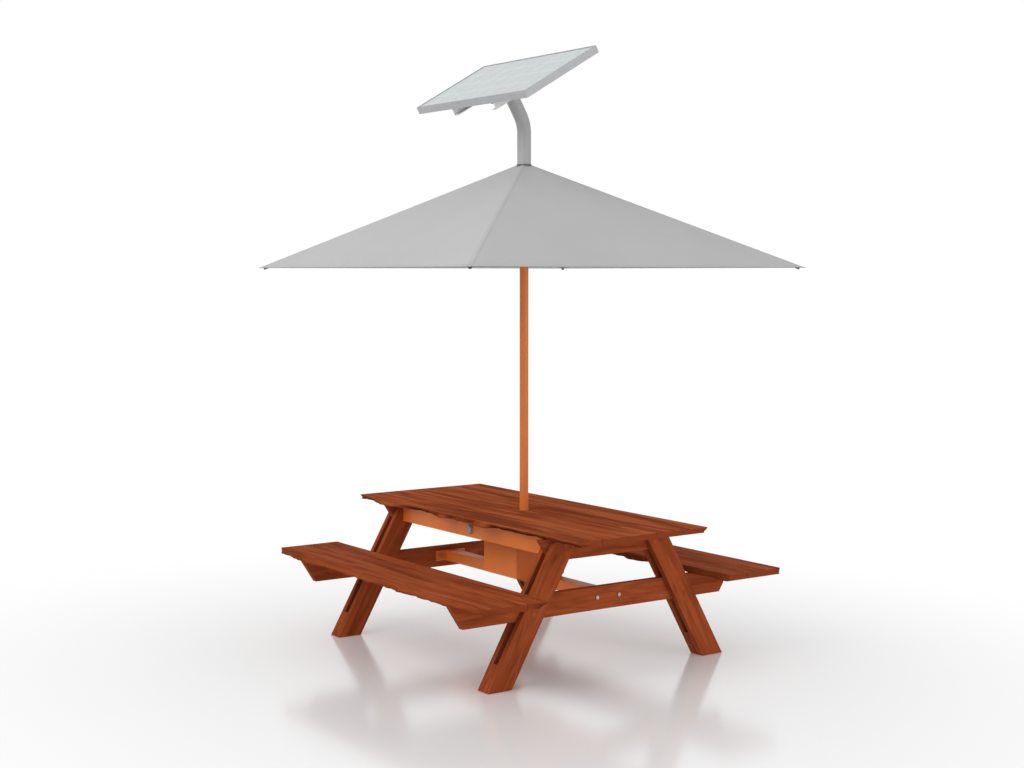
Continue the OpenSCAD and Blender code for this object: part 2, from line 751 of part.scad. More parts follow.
// Repeats a bolt or hole at the four collar bolts
module at_collar_bolts() {
  for (d = [-1, 1], s = [-1, 1]) translate([d * cross_half, s * collar_pitch / 2, 0]) children();
}

// Square tubes between the side channels, on either side of the mast
module cross_members() {
  half_l = channel_y - channel_wall;
  half_w = cross_w / 2;
  color([0.76, 0.37, 0.14]) difference() {
    for (mid = [-cross_half, cross_half]) difference() {
      block([mid - half_w, -half_l, cross_z], [mid + half_w, half_l, cross_z + cross_h]);
      block([mid - half_w + channel_wall, -half_l - EPS, cross_z + channel_wall],
        [mid + half_w - channel_wall, half_l + EPS, cross_z + cross_h - channel_wall]);
    }
    at_collar_bolts() rod_z(cross_z - EPS, cross_z + 2 * channel_wall, hole(frame_bolt_d), 0, 0);
  }
}

// Plate under the cross members with the sleeve that steadies the mast
module mast_collar() {
  half_x = cross_half + cross_w / 2;
  color([0.78, 0.38, 0.15]) difference() {
    union() {
      block([-half_x, -mast_plate_w / 2, mast_plate_z], [half_x, mast_plate_w / 2, cross_z]);
      rod_z(cross_z, cross_z + sleeve_h, sleeve_d, 0, 0);
    }
    rod_z(mast_plate_z - EPS, cross_z + sleeve_h + EPS, mast_d + 2 * slip_gap, 0, 0);
    at_collar_bolts() rod_z(mast_plate_z - EPS, cross_z + EPS, hole(frame_bolt_d), 0, 0);
  }
}

// Box rail between the seat beams, with a bolting plate at each end
module lower_rail() {
  reach = trestle_half - beam_t / 2;
  plate_x = reach - rail_plate_t;
  low = rail_z - rail_h / 2;
  half_w = rail_w / 2;
  inner = half_w - rail_wall;
  color([0.8, 0.4, 0.16]) at_table() difference() {
    union() {
      block([-reach, -half_w, low], [reach, half_w, rail_top]);
      for (end = [BACK, FRONT])
        block([end * reach, -rail_plate_w / 2, low], [end * plate_x, rail_plate_w / 2, rail_top]);
    }
    block([-plate_x, -inner, low + rail_wall], [plate_x, inner, rail_top - rail_wall]);
    for (end = [BACK, FRONT], y = rail_bolt_y)
      rod_x(end * (reach + EPS), end * (plate_x - EPS), hole(frame_bolt_d), y, rail_z);
    for (x = foot_bolt_x) rod_z(rail_top - 2 * rail_wall, rail_top + EPS, hole(frame_bolt_d), mast_x + x, 0);
  }
}

// Frame bolt along Z from the seat of its head to the seat of its nut
module bolt_z(x, y, seat, nut) {
  dir = nut > seat ? 1 : -1;
  rod_z(seat, nut + dir * frame_head_t, frame_bolt_d, x, y);
  rod_z(seat, seat - dir * frame_head_t, frame_head_d, x, y);
  rod_z(nut, nut + dir * frame_head_t, frame_head_d - 3, x, y);
}

// Bolts of the lower rail, the mast's foot and the mast plate
module frame_bolts() {
  color([0.75, 0.75, 0.77]) {
    at_table() for (end = [BACK, FRONT], y = rail_bolt_y) {
      plate_face = end * (trestle_half - beam_t / 2 - rail_plate_t);
      beam_face = end * (trestle_half + beam_t / 2);
      seat = max(plate_face, beam_face);
      nut = min(plate_face, beam_face);
      rod_x(nut - frame_head_t, seat, frame_bolt_d, y, rail_z);
      rod_x(seat, seat + frame_head_t, frame_head_d, y, rail_z);
      rod_x(nut - frame_head_t, nut, frame_head_d - 3, y, rail_z);
    }
    for (x = foot_bolt_x) bolt_z(x, 0, rail_top + foot_plate_t, rail_top - rail_wall);
    at_collar_bolts() bolt_z(0, 0, cab_top - cab_wall, cross_z + channel_wall);
  }
}

// Mast with its foot plate, which stands on the lower rail, and a hole for the wires from above
module mast() {
  half_l = foot_plate_l / 2;
  half_w = rail_w / 2;
  color([0.82, 0.42, 0.2]) difference() {
    union() {
      rod_z(rail_top, mast_top, mast_d, 0, 0);
      block([-half_l, -half_w, rail_top], [half_l, half_w, foot_plate_z]);
    }
    rod_z(foot_plate_z, mast_top + EPS, mast_d - 2 * mast_wall, 0, 0);
    for (x = foot_bolt_x) rod_z(rail_top - EPS, foot_plate_z + EPS, hole(frame_bolt_d), x, 0);
    rod_y(-mast_d, 0, wire_hole_d, 0, cab_top - wire_hole_below);
  }
}

// Places a child on the axis of rib i, Z running down the rib from the mast's axis
module on_rib(i) {
  rotate([0, 0, 45 + 90 * i]) translate([0, 0, rib_axis_z]) rotate([0, 90 + ridge_slope, 0]) children();
}

// Turned hub on the mast's head: sleeve below, shoulder for the pole, spigot above and four rib spigots
module canopy_hub() {
  color([0.42, 0.42, 0.43]) difference() {
    union() {
      rod_z(shoulder_z - hub_drop, shoulder_z + hub_spigot, 2 * hub_r, 0, 0);
      rod_z(shoulder_z - shoulder_t, shoulder_z, shoulder_d, 0, 0);
      for (i = [0 : 3]) on_rib(i) translate([0, 0, hub_r - 12])
        cylinder(h = rib_spigot, d = rib_bore - 2 * slip_gap);
    }
    rod_z(shoulder_z - hub_drop - EPS, shoulder_z + EPS, mast_d + 2 * slip_gap, 0, 0);
    rod_z(shoulder_z, shoulder_z + hub_spigot + EPS, mast_d - 2 * mast_wall, 0, 0);
  }
}

// Four tubes under the ridges
module canopy_ribs() {
  color([0.4, 0.4, 0.41]) for (i = [0 : 3]) on_rib(i) translate([0, 0, rib_start + 14]) difference() {
    cylinder(h = rib_end - rib_start - 14, d = rib_d);
    translate([0, 0, -EPS]) cylinder(h = rib_end - rib_start - 14 + 2 * EPS, d = rib_bore);
  }
}

// Plastic stoppers in the lower ends of the ribs
module rib_end_caps() {
  color([0.2, 0.2, 0.2]) for (i = [0 : 3]) on_rib(i) {
    translate([0, 0, rib_end]) cylinder(h = 3, d = rib_d);
    translate([0, 0, rib_end - 14]) cylinder(h = 14, d = rib_bore - 2 * slip_gap);
  }
}

// Square pyramid of cloth, open below, with a round opening at its point
module canopy() {
  corner_r = canopy_side / sqrt(2);
  color([0.75, 0.75, 0.75]) difference() {
    translate([0, 0, eave_z]) rotate([0, 0, 45]) cylinder(h = canopy_rise, r1 = corner_r, r2 = 0, $fn = 4);
    translate([0, 0, eave_z - cloth_drop]) rotate([0, 0, 45])
      cylinder(h = canopy_rise, r1 = corner_r, r2 = 0, $fn = 4);
    rod_z(apex_z - 60, apex_z + EPS, shoulder_d + 2 * cloth_gap, 0, 0);
  }
}

// Upper pole: upright from the hub, bent over, with a plate welded across its head
module upper_pole() {
  color([0.6, 0.6, 0.6]) {
    translate([0, 0, shoulder_z]) difference() {
      cylinder(h = pole_bend_z - shoulder_z, d = pole_d);
      translate([0, 0, -EPS]) cylinder(h = pole_bend_z - shoulder_z + 2 * EPS, d = pole_bore);
    }
    pole_bend();
    at_pole_end() pole_arm();
  }
}

// Bent stretch of the upper pole, leaning towards the left
module pole_bend() {
  translate([0, -pole_bend_r, pole_bend_z]) rotate([90, 0, 90]) rotate_extrude(angle = panel_tilt)
    translate([pole_bend_r, 0]) difference() {
      circle(d = pole_d);
      circle(d = pole_bore);
    }
}

// Straight stretch past the bend, square to the panel, with the head plate and its bolt holes
module pole_arm() {
  half = head_plate_w / 2;
  difference() {
    union() {
      rod_z(weld_gap - pole_arm_l, head_plate_t / 2, pole_d, 0, 0);
      block([-half, -half, 0], [half, half, head_plate_t]);
    }
    rod_z(-pole_arm_l - EPS, 0, pole_bore, 0, 0);
    head_bolt_holes(0, head_plate_t);
  }
}

// Holes for the four bolts between the head plate and the cross tube
module head_bolt_holes(z0, z1) {
  for (u = [-1, 1], v = [-1, 1])
    rod_z(z0 - EPS, z1 + EPS, hole(panel_bolt_d), u * head_pitch / 2, v * head_v);
}

// Frame at the pole's head: Z square to the panel, X along it
module at_pole_end() {
  y = -pole_bend_r * (1 - cos(panel_tilt)) - pole_arm_l * sin(panel_tilt);
  z = pole_bend_z + pole_bend_r * sin(panel_tilt) + pole_arm_l * cos(panel_tilt);
  translate([0, y, z]) rotate([panel_tilt, 0, 0]) children();
}

// Box tube between the two panel rails, bolted on the pole's head plate
module panel_cross_tube() {
  half_l = rail_spread - prail_w / 2;
  half_w = head_plate_w / 4;
  inner = half_w - prail_wall;
  color([0.66, 0.66, 0.66]) at_pole_end() difference() {
    block([-half_l, -half_w, tube_z], [half_l, half_w, frame_z]);
    block([-half_l - EPS, -inner, tube_z + prail_wall], [half_l + EPS, inner, frame_z - prail_wall]);
    head_bolt_holes(tube_z, tube_z + prail_wall);
  }
}

// Repeats a bolt or hole at the four corners where the panel's frame lies on its rails
module at_foot_bolts() {
  for (d = [-1, 1], s = [-1, 1]) translate([d * rail_spread, s * foot_bolt_v, 0]) children();
}

// Two channels across the panel's back, open towards each other on both sides of the cross tube
module panel_rails() {
  half_v = panel_w / 2 - prail_inset;
  shut_v = head_plate_w / 4 + 4;
  color([0.66, 0.66, 0.66]) at_pole_end() difference() {
    for (d = [-1, 1]) difference() {
      lip = d * (rail_spread - prail_w / 2);
      web = d * (rail_spread + prail_w / 2);
      block([lip, -half_v, tube_z], [web, half_v, frame_z]);
      for (s = [-1, 1])
        block([lip - d * EPS, s * shut_v, tube_z + prail_wall],
          [web - d * prail_wall, s * (half_v + EPS), frame_z - prail_wall]);
    }
    at_foot_bolts() rod_z(frame_z - 2 * prail_wall, frame_z + EPS, hole(panel_bolt_d), 0, 0);
  }
}

// Frame of the panel: an outer wall with a lip over the glass, a ledge under it and a foot flange
module panel_frame() {
  l = panel_l / 2;
  w = panel_w / 2;
  top = frame_z + panel_t;
  li = l - panel_wall;
  wi = w - panel_wall;
  seat = glass_z - slip_gap;
  color([0.62, 0.62, 0.63]) at_pole_end() difference() {
    block([-l, -w, frame_z], [l, w, top]);
    block([panel_lip - l, panel_lip - w, frame_z + panel_wall], [l - panel_lip, w - panel_lip, top + EPS]);
    block([-li, -wi, seat], [li, wi, top - panel_wall]);
    block([-li, -wi, frame_z + panel_wall], [li, wi, seat - ledge_t]);
    block([panel_foot - l, panel_foot - w, frame_z - EPS], [l - panel_foot, w - panel_foot, top]);
    at_foot_bolts() rod_z(frame_z - EPS, frame_z + 2 * panel_wall, hole(panel_bolt_d), 0, 0);
  }
}

// Laminated glass with the cells behind it
module panel_glass() {
  l = panel_l / 2 - panel_wall - 1;
  w = panel_w / 2 - panel_wall - 1;
  color([0.8, 0.83, 0.82]) at_pole_end() block([-l, -w, glass_z], [l, w, glass_z + glass_t]);
}

// Junction box on the back of the glass, with two cable glands
module junction_box() {
  v0 = panel_w / 2 - panel_foot - jbox_w - 20;
  color([0.12, 0.12, 0.13]) at_pole_end() {
    block([-jbox_w / 2, v0, glass_z - jbox_t], [jbox_w / 2, v0 + jbox_w, glass_z]);
    for (d = [-1, 1]) rod_y(v0 - 14, v0, 12, d * jbox_w / 4, glass_z - jbox_t / 2);
  }
}

// Panel bolt from the seat of its head to the seat of its nut
module panel_bolt(seat, nut) {
  dir = nut > seat ? 1 : -1;
  rod_z(seat, nut + dir * panel_head_t, panel_bolt_d, 0, 0);
  rod_z(seat, seat - dir * panel_head_t, panel_head_d, 0, 0);
  rod_z(nut, nut + dir * panel_head_t, panel_head_d - 2, 0, 0);
}

// Bolts that hold the panel on its rails and the cross tube on the pole's head
module panel_bolts() {
  color([0.75, 0.75, 0.77]) at_pole_end() {
    at_foot_bolts() panel_bolt(frame_z + panel_wall, frame_z - prail_wall);
    for (u = [-1, 1], v = [-1, 1])
      translate([u * head_pitch / 2, v * head_v, 0]) panel_bolt(0, tube_z + prail_wall);
  }
}

// Hinge heights: the cabinet's knuckle below, the door's knuckle above
module knuckle(z, leaf_to, leaf_y0, leaf_y1) {
  difference() {
    union() {
      rod_z(z, z + knuckle_l, knuckle_d, hinge_x, hinge_y);
      block([min(hinge_x, leaf_to), leaf_y0, z], [max(hinge_x, leaf_to), leaf_y1, z + knuckle_l]);
    }
    rod_z(z - EPS, z + knuckle_l + EPS, pin_d + 2 * run_gap, hinge_x, hinge_y);
  }
}

// Sheet steel cabinet under the mast plate: open at its door side behind a lip, with a skirt below its floor
module cabinet_shell() {
  skirt_z = cab_floor - skirt_h;
  floor_hi = cab_floor + cab_wall;
  xi = cab_x - cab_wall;
  yi = cab_y - cab_wall;
  half_l = foot_plate_l / 2 + cab_clear;
  half_w = rail_w / 2 + cab_clear;
  color([0.79, 0.4, 0.15]) {
    lip_frame();
    difference() {
      union() {
        difference() {
          block([-cab_x, -cab_y, skirt_z], [cab_x, cab_y, cab_top]);
          block([-xi, -yi, floor_hi], [xi, cab_y + EPS, cab_top - cab_wall]);
          block([-xi, -yi, skirt_z - EPS], [xi, yi, cab_floor]);
          block([-cab_x - EPS, -half_w, skirt_z - EPS], [cab_x + EPS, half_w, cab_floor]);
        }
        for (z = hinge_z) {
          rod_z(z, z + knuckle_l - slip_gap, knuckle_d, hinge_x, hinge_y);
          block([hinge_x - knuckle_d / 2, cab_y - 14, z], [-cab_x, cab_y - 2, z + knuckle_l - slip_gap]);
          block([hinge_x - knuckle_d / 2, cab_y - 3, z], [hinge_x, hinge_y, z + knuckle_l - slip_gap]);
        }
      }
      for (z = hinge_z) rod_z(z - EPS, z + knuckle_l, pin_d + 2 * run_gap, hinge_x, hinge_y);
      block([-half_l, -half_w, cab_floor - EPS], [half_l, half_w, floor_hi + EPS]);
      rod_z(cab_top - cab_wall - EPS, cab_top + EPS, mast_d + 2 * cab_clear, 0, 0);
      at_collar_bolts() rod_z(cab_top - cab_wall - EPS, cab_top + EPS, hole(frame_bolt_d), 0, 0);
    }
  }
}

// Frame welded inside the cabinet's open face: the lip that the door's seal meets
module lip_frame() {
  x = cab_x - cab_wall - weld_gap;
  z0 = cab_floor + cab_wall + weld_gap;
  z1 = cab_top - cab_wall - weld_gap;
  difference() {
    block([-x, cab_y - cab_wall, z0], [x, cab_y, z1]);
    block([lip_w - cab_x, 0, cab_floor + lip_w], [cab_x - lip_w, cab_y + EPS, cab_top - lip_w]);
  }
}

// Door pan with a rim, the upper half of each hinge and the hole for the lock
module cabinet_door() {
  y0 = cab_y + door_gap;
  x0 = -cab_x + door_margin;
  x1 = cab_x - door_margin;
  w = cab_wall;
  color([0.8, 0.41, 0.16]) difference() {
    union() {
      difference() {
        block([x0, y0, door_lo], [x1, door_front, door_hi]);
        block([x0 + w, y0 - EPS, door_lo + w], [x1 - w, door_front - w, door_hi - w]);
      }
      for (z = hinge_z) {
        rod_z(z + knuckle_l, z + 2 * knuckle_l, knuckle_d, hinge_x, hinge_y);
        block([hinge_x, door_front - w, z + knuckle_l], [x0 + w, door_front, z + 2 * knuckle_l]);
      }
    }
    for (z = hinge_z)
      rod_z(z + knuckle_l - EPS, z + 2 * knuckle_l + EPS, pin_d + 2 * run_gap, hinge_x, hinge_y);
    rod_y(y0, door_front + EPS, lock_d + 2 * slip_gap, lock_x, lock_z);
  }
}

// Rubber strip inside the door that meets the lip
module door_seal() {
  o = door_margin + cab_wall + slip_gap;
  i = o + seal_w;
  y0 = cab_y + slip_gap;
  y1 = door_front - cab_wall;
  color([0.1, 0.1, 0.1]) difference() {
    block([o - cab_x, y0, cab_floor + o], [cab_x - o, y1, cab_top - o]);
    block([i - cab_x, y0 - EPS, cab_floor + i], [cab_x - i, y1 + EPS, cab_top - i]);
  }
}

module door_hinge_pins() {
  color([0.7, 0.7, 0.72]) for (z = hinge_z) {
    rod_z(z, z + 2 * knuckle_l + slip_gap, pin_d, hinge_x, hinge_y);
    top = z + 2 * knuckle_l + slip_gap;
    rod_z(top, top + 2.5, knuckle_d - 1.5, hinge_x, hinge_y);
  }
}

// Lock barrel with its flange outside the door and its nut inside
module lock_housing() {
  color([0.75, 0.75, 0.77]) difference() {
    union() {
      rod_y(cam_back + cam_t + slip_gap, door_front, lock_d, lock_x, lock_z);
      rod_y(door_front, door_front + lock_flange_t, lock_d + 6, lock_x, lock_z);
      rod_y(door_front - cab_wall - lock_nut_t, door_front - cab_wall, lock_d + 3, lock_x, lock_z);
    }
    rod_y(cam_back, door_front + lock_flange_t + EPS, lock_plug_d + 2 * run_gap, lock_x, lock_z);
  }
}

// Turning plug with its key slot, and the cam on its inner end, which stands upright when unlocked
module lock_plug() {
  face = door_front + lock_flange_t;
  color([0.55, 0.55, 0.57]) difference() {
    union() {
      rod_y(cam_back, face, lock_plug_d, lock_x, lock_z);
      block([lock_x - 5, cam_back, lock_z - 6], [lock_x + 5, cam_back + cam_t, lock_z + cam_reach]);
    }
    block([lock_x - 0.8, face - 2, lock_z - 3.5], [lock_x + 0.8, face + EPS, lock_z + 3.5]);
  }
}

// Upright plate across the cabinet behind the door that carries the controls
module equipment_plate() {
  z0 = cab_floor + cab_wall;
  half = cab_x - cab_wall - 12;
  notch = foot_plate_l / 2 + 2;
  color([0.74, 0.75, 0.76]) difference() {
    union() {
      block([-half, plate_y, z0], [half, plate_y + cab_wall, z0 + batt_h]);
      block([-half, plate_y, z0], [half, plate_y + 16, z0 + cab_wall]);
    }
    block([-notch, plate_y - EPS, z0 - EPS], [notch, plate_y + 17, foot_plate_z + 2]);
  }
}

// Sealed battery on the cabinet's floor behind the mast
module battery() {
  z0 = cab_floor + cab_wall;
  y0 = -cab_y + cab_wall + 8;
  color([0.14, 0.15, 0.17]) {
    block([-batt_l / 2, y0, z0], [batt_l / 2, y0 + batt_w, z0 + batt_h - 14]);
    block([-batt_l / 2 + 4, y0 + 4, z0 + batt_h - 14], [batt_l / 2 - 4, y0 + batt_w - 4, z0 + batt_h - 6]);
    for (d = [-1, 1])
      block([d * (batt_l / 2 - 22) - 8, y0 + batt_w - 24, z0 + batt_h - 6],
        [d * (batt_l / 2 - 22) + 8, y0 + batt_w - 8, z0 + batt_h]);
  }
}

// Charge controller with cooling fins on its upper half and a terminal strip below
module charge_controller() {
  y0 = plate_y + cab_wall;
  x0 = ctrl_x - ctrl_w / 2;
  fins = 9;
  color([0.2, 0.22, 0.26]) difference() {
    block([x0, y0, gear_z - ctrl_h / 2], [x0 + ctrl_w, y0 + ctrl_d, gear_z + ctrl_h / 2]);
    for (i = [1 : fins])
      block([x0 + i * ctrl_w / (fins + 1) - 2.5, y0 + ctrl_d - 12, gear_z + 4],
        [x0 + i * ctrl_w / (fins + 1) + 2.5, y0 + ctrl_d + EPS, gear_z + ctrl_h / 2 + EPS]);
    block([x0 + 8, y0 + ctrl_d - 16, gear_z - ctrl_h / 2 - EPS],
      [x0 + ctrl_w - 8, y0 + ctrl_d + EPS, gear_z - ctrl_h / 2 + 16]);
  }
}

// Battery isolator: a square base with a round boss, and the knob that turns on it
module isolator_base() {
  half = iso_w / 2;
  front = iso_y + iso_d;
  color([0.16, 0.16, 0.17]) difference() {
    union() {
      block([iso_x - half, iso_y, gear_z - half], [iso_x + half, front - 6, gear_z + half]);
      rod_y(front - 6, front, iso_w - 8, iso_x, gear_z);
    }
    rod_y(front - 16, front + EPS, spindle_d + 2 * run_gap, iso_x, gear_z);
  }
}

module isolator_knob() {
  y0 = iso_y + iso_d + slip_gap;
  color([0.75, 0.1, 0.08]) {
    rod_y(iso_y + iso_d - 15, y0, spindle_d, iso_x, gear_z);
    rod_y(y0, y0 + 6, knob_d, iso_x, gear_z);
    block([iso_x - 5, y0 + 6, gear_z - knob_d / 2 + 3], [iso_x + 5, y0 + knob_t, gear_z + knob_d / 2 - 3]);
  }
}

// Charging sockets in the side channels: bezel with two ears, body through the channel and a ring nut behind
module socket_side(side) { at_table() mirror([0, side < 0 ? 1 : 0, 0]) children(); }

module usb_sockets() {
  color([0.45, 0.48, 0.55]) for (side = [LEFT, RIGHT]) socket_side(side) difference() {
    union() {
      rod_y(channel_y, channel_y + bezel_t, bezel_d, 0, socket_z);
      rod_y(channel_y - body_l, channel_y, body_d, 0, socket_z);
      rod_y(channel_y - channel_wall - 6, channel_y - channel_wall, body_d + 10, 0, socket_z);
      for (d = [-1, 1]) {
        x0 = d * ear_x - ear_t / 2;
        x1 = d * ear_x + ear_t / 2;
        block([x0, cap_y - 1, cap_pin_z - lug_d / 2], [x1, cap_pin_y, cap_pin_z + lug_d / 2]);
        rod_x(x0, x1, lug_d, cap_pin_y, cap_pin_z);
      }
    }
    rod_y(channel_y + bezel_t - 14, channel_y + bezel_t + EPS, 26, 0, socket_z);
    rod_x(-ear_x - ear_t, ear_x + ear_t, cap_pin_d + 2 * run_gap, cap_pin_y, cap_pin_z);
  }
}

// Dust cap with the pin it swings on, a rim that enters the socket and a finger tab at its foot
module socket_cap(side) {
  lug = ear_x - ear_t / 2 - slip_gap;
  color([0.5, 0.53, 0.6]) socket_side(side) {
    difference() {
      union() {
        rod_y(cap_y + slip_gap, cap_y + cap_t, cap_d, 0, socket_z);
        block([-lug, cap_y + slip_gap, socket_z], [lug, cap_pin_y + 2, cap_pin_z]);
      }
      for (d = [-1, 1])
        block([d * ear_x - ear_t / 2 - slip_gap, cap_y, cap_pin_z - 5],
          [d * ear_x + ear_t / 2 + slip_gap, cap_y + cap_t + EPS, cap_pin_z + 5]);
    }
    rod_x(-lug, lug, lug_d, cap_pin_y, cap_pin_z);
    rod_x(-ear_x - ear_t / 2, ear_x + ear_t / 2, cap_pin_d, cap_pin_y, cap_pin_z);
    rod_y(cap_y - 2, cap_y + slip_gap, 24, 0, socket_z);
    block([-6, cap_y + 1, socket_z - cap_d / 2 - 3], [6, cap_y + cap_t - 1, socket_z - cap_d / 2 + 2]);
  }
}

top_plank(1);  // top_plank_1
top_plank(2);  // top_plank_2
top_plank(3);  // top_plank_3
top_plank(4);  // top_plank_4
top_plank(5);  // top_plank_5
left_bench_inner_plank();
left_bench_outer_plank();
right_bench_inner_plank();
right_bench_outer_plank();
leg_board(FRONT, LEFT, OUTER);  // leg_front_left_outer
leg_board(FRONT, LEFT, INNER);  // leg_front_left_inner
leg_board(FRONT, RIGHT, OUTER);  // leg_front_right_outer
leg_board(FRONT, RIGHT, INNER);  // leg_front_right_inner
leg_board(BACK, LEFT, OUTER);  // leg_back_left_outer
leg_board(BACK, LEFT, INNER);  // leg_back_left_inner
leg_board(BACK, RIGHT, OUTER);  // leg_back_right_outer
leg_board(BACK, RIGHT, INNER);  // leg_back_right_inner
leg_spacers();
seat_beam(FRONT);  // seat_beam_front
seat_beam(BACK);  // seat_beam_back
top_beam(FRONT);  // top_beam_front
top_beam(BACK);  // top_beam_back
leg_bolts();
bolt_plugs();
plank_screws();
side_channel(LEFT);  // side_channel_left
side_channel(RIGHT);  // side_channel_right
channel_screws();
cross_members();
mast_collar();
lower_rail();
frame_bolts();
mast();
mast_grommet();
canopy_hub();
canopy_ribs();
rib_end_caps();
canopy();
upper_pole();
panel_rails();
panel_cross_tube();
panel_frame();
panel_glass();
junction_box();
panel_bolts();
cabinet_shell();
cabinet_door();
door_seal();
door_hinge_pins();
lock_housing();
lock_plug();
equipment_plate();
battery();
charge_controller();
isolator_base();
isolator_knob();
usb_sockets();
socket_cap(LEFT);  // left_socket_cap
socket_cap(RIGHT);  // right_socket_cap
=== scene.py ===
"""Visual model of a charging picnic table.

Waney planks, a cloth canopy on a mast, a tilted solar panel and a cabinet.
"""
import json
import logging
import math
from dataclasses import dataclass, field
from enum import Enum

import bpy
import numpy as np
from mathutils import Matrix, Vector

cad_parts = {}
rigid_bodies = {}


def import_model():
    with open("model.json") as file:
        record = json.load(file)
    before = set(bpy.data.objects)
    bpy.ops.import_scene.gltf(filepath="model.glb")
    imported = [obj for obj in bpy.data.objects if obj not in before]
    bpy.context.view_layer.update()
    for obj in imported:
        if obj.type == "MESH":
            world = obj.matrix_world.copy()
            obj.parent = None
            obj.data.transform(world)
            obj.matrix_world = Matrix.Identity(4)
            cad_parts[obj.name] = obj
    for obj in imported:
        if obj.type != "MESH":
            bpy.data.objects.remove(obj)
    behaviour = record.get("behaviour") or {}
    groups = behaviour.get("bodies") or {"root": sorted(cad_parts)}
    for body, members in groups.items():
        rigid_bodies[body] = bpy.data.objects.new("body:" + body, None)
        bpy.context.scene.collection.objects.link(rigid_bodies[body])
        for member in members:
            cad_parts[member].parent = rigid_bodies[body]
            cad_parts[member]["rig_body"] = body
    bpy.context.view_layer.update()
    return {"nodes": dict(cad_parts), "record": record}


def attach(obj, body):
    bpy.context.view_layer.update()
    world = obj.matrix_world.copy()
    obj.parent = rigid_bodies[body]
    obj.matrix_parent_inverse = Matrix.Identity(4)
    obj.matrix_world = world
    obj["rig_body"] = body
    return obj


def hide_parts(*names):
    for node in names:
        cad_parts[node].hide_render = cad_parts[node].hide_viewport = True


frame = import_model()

LOG = logging.getLogger("charging_table")

Colour = tuple[float, float, float]
Place = tuple[float, float, float]
Span = tuple[float, float]
Knots = tuple[Span, ...]
Material = bpy.types.Material
Socket = bpy.types.NodeSocket
Number = float | Socket
Shade = Colour | Socket

# Distance from crest to crest of a wave texture of scale 1, in metres
WAVE_UNIT = 2 * math.pi / 20
# Range that most values of a noise lie in
NOISE_LOW, NOISE_HIGH = 0.3, 0.7
# Middle of the table along X, in metres from the mast
TABLE_MIDDLE_X = -0.020
# Weld beads: how far the middle stands off the metal and the length of a ripple in metres, the share by
# which the radius swells, and the points round a section
BEAD_LIFT, BEAD_RIPPLE, BEAD_SWELL, BEAD_SIDES = 0.0008, 0.0035, 0.10, 8


class Side(Enum):
    """The two long sides of the table, as the sign of Y."""

    LEFT = -1
    RIGHT = 1


class Slot(Enum):
    """Material slots of the record that the scene finishes."""

    TIMBER = "timber"
    FASTENER_STEEL = "fastener_steel"
    ORANGE_PAINT = "orange_paint"
    DARK_GREY_PAINT = "dark_grey_paint"
    GREY_PAINT = "grey_paint"
    CANOPY_CLOTH = "canopy_cloth"
    BARE_ALUMINIUM = "bare_aluminium"
    PANEL_GLASS = "panel_glass"
    BLACK_PLASTIC = "black_plastic"
    BLACK_RUBBER = "black_rubber"
    GREY_PLASTIC = "grey_plastic"
    LOCK_METAL = "lock_metal"
    ZINC_PLATE = "zinc_plate"
    BATTERY_PLASTIC = "battery_plastic"
    DARK_ANODISED = "dark_anodised"
    RED_PLASTIC = "red_plastic"


def screen(red: int, green: int, blue: int) -> Colour:
    """Linear colour of a screen colour: ((c / 255 + 0.055) / 1.055) to the power 2.4 above the dark end.

    Args:
        red: red from 0 to 255.
        green: green from 0 to 255.
        blue: blue from 0 to 255.

    Returns:
        The same colour in linear light.
    """
    c = np.array([red, green, blue], float) / 255
    low, high = c / 12.92, ((c + 0.055) / 1.055) ** 2.4
    return tuple(float(v) for v in np.where(c <= 0.04045, low, high))


def toned(colour: Colour, factor: float, lift: float = 0.0) -> Colour:
    """A colour times a factor plus a lift, held at 1."""
    return tuple(min(1.0, factor * c + lift) for c in colour)


def radians(turn: Place) -> list[float]:
    """Three angles in degrees as radians."""
    return [math.radians(angle) for angle in turn]


# Node sheets


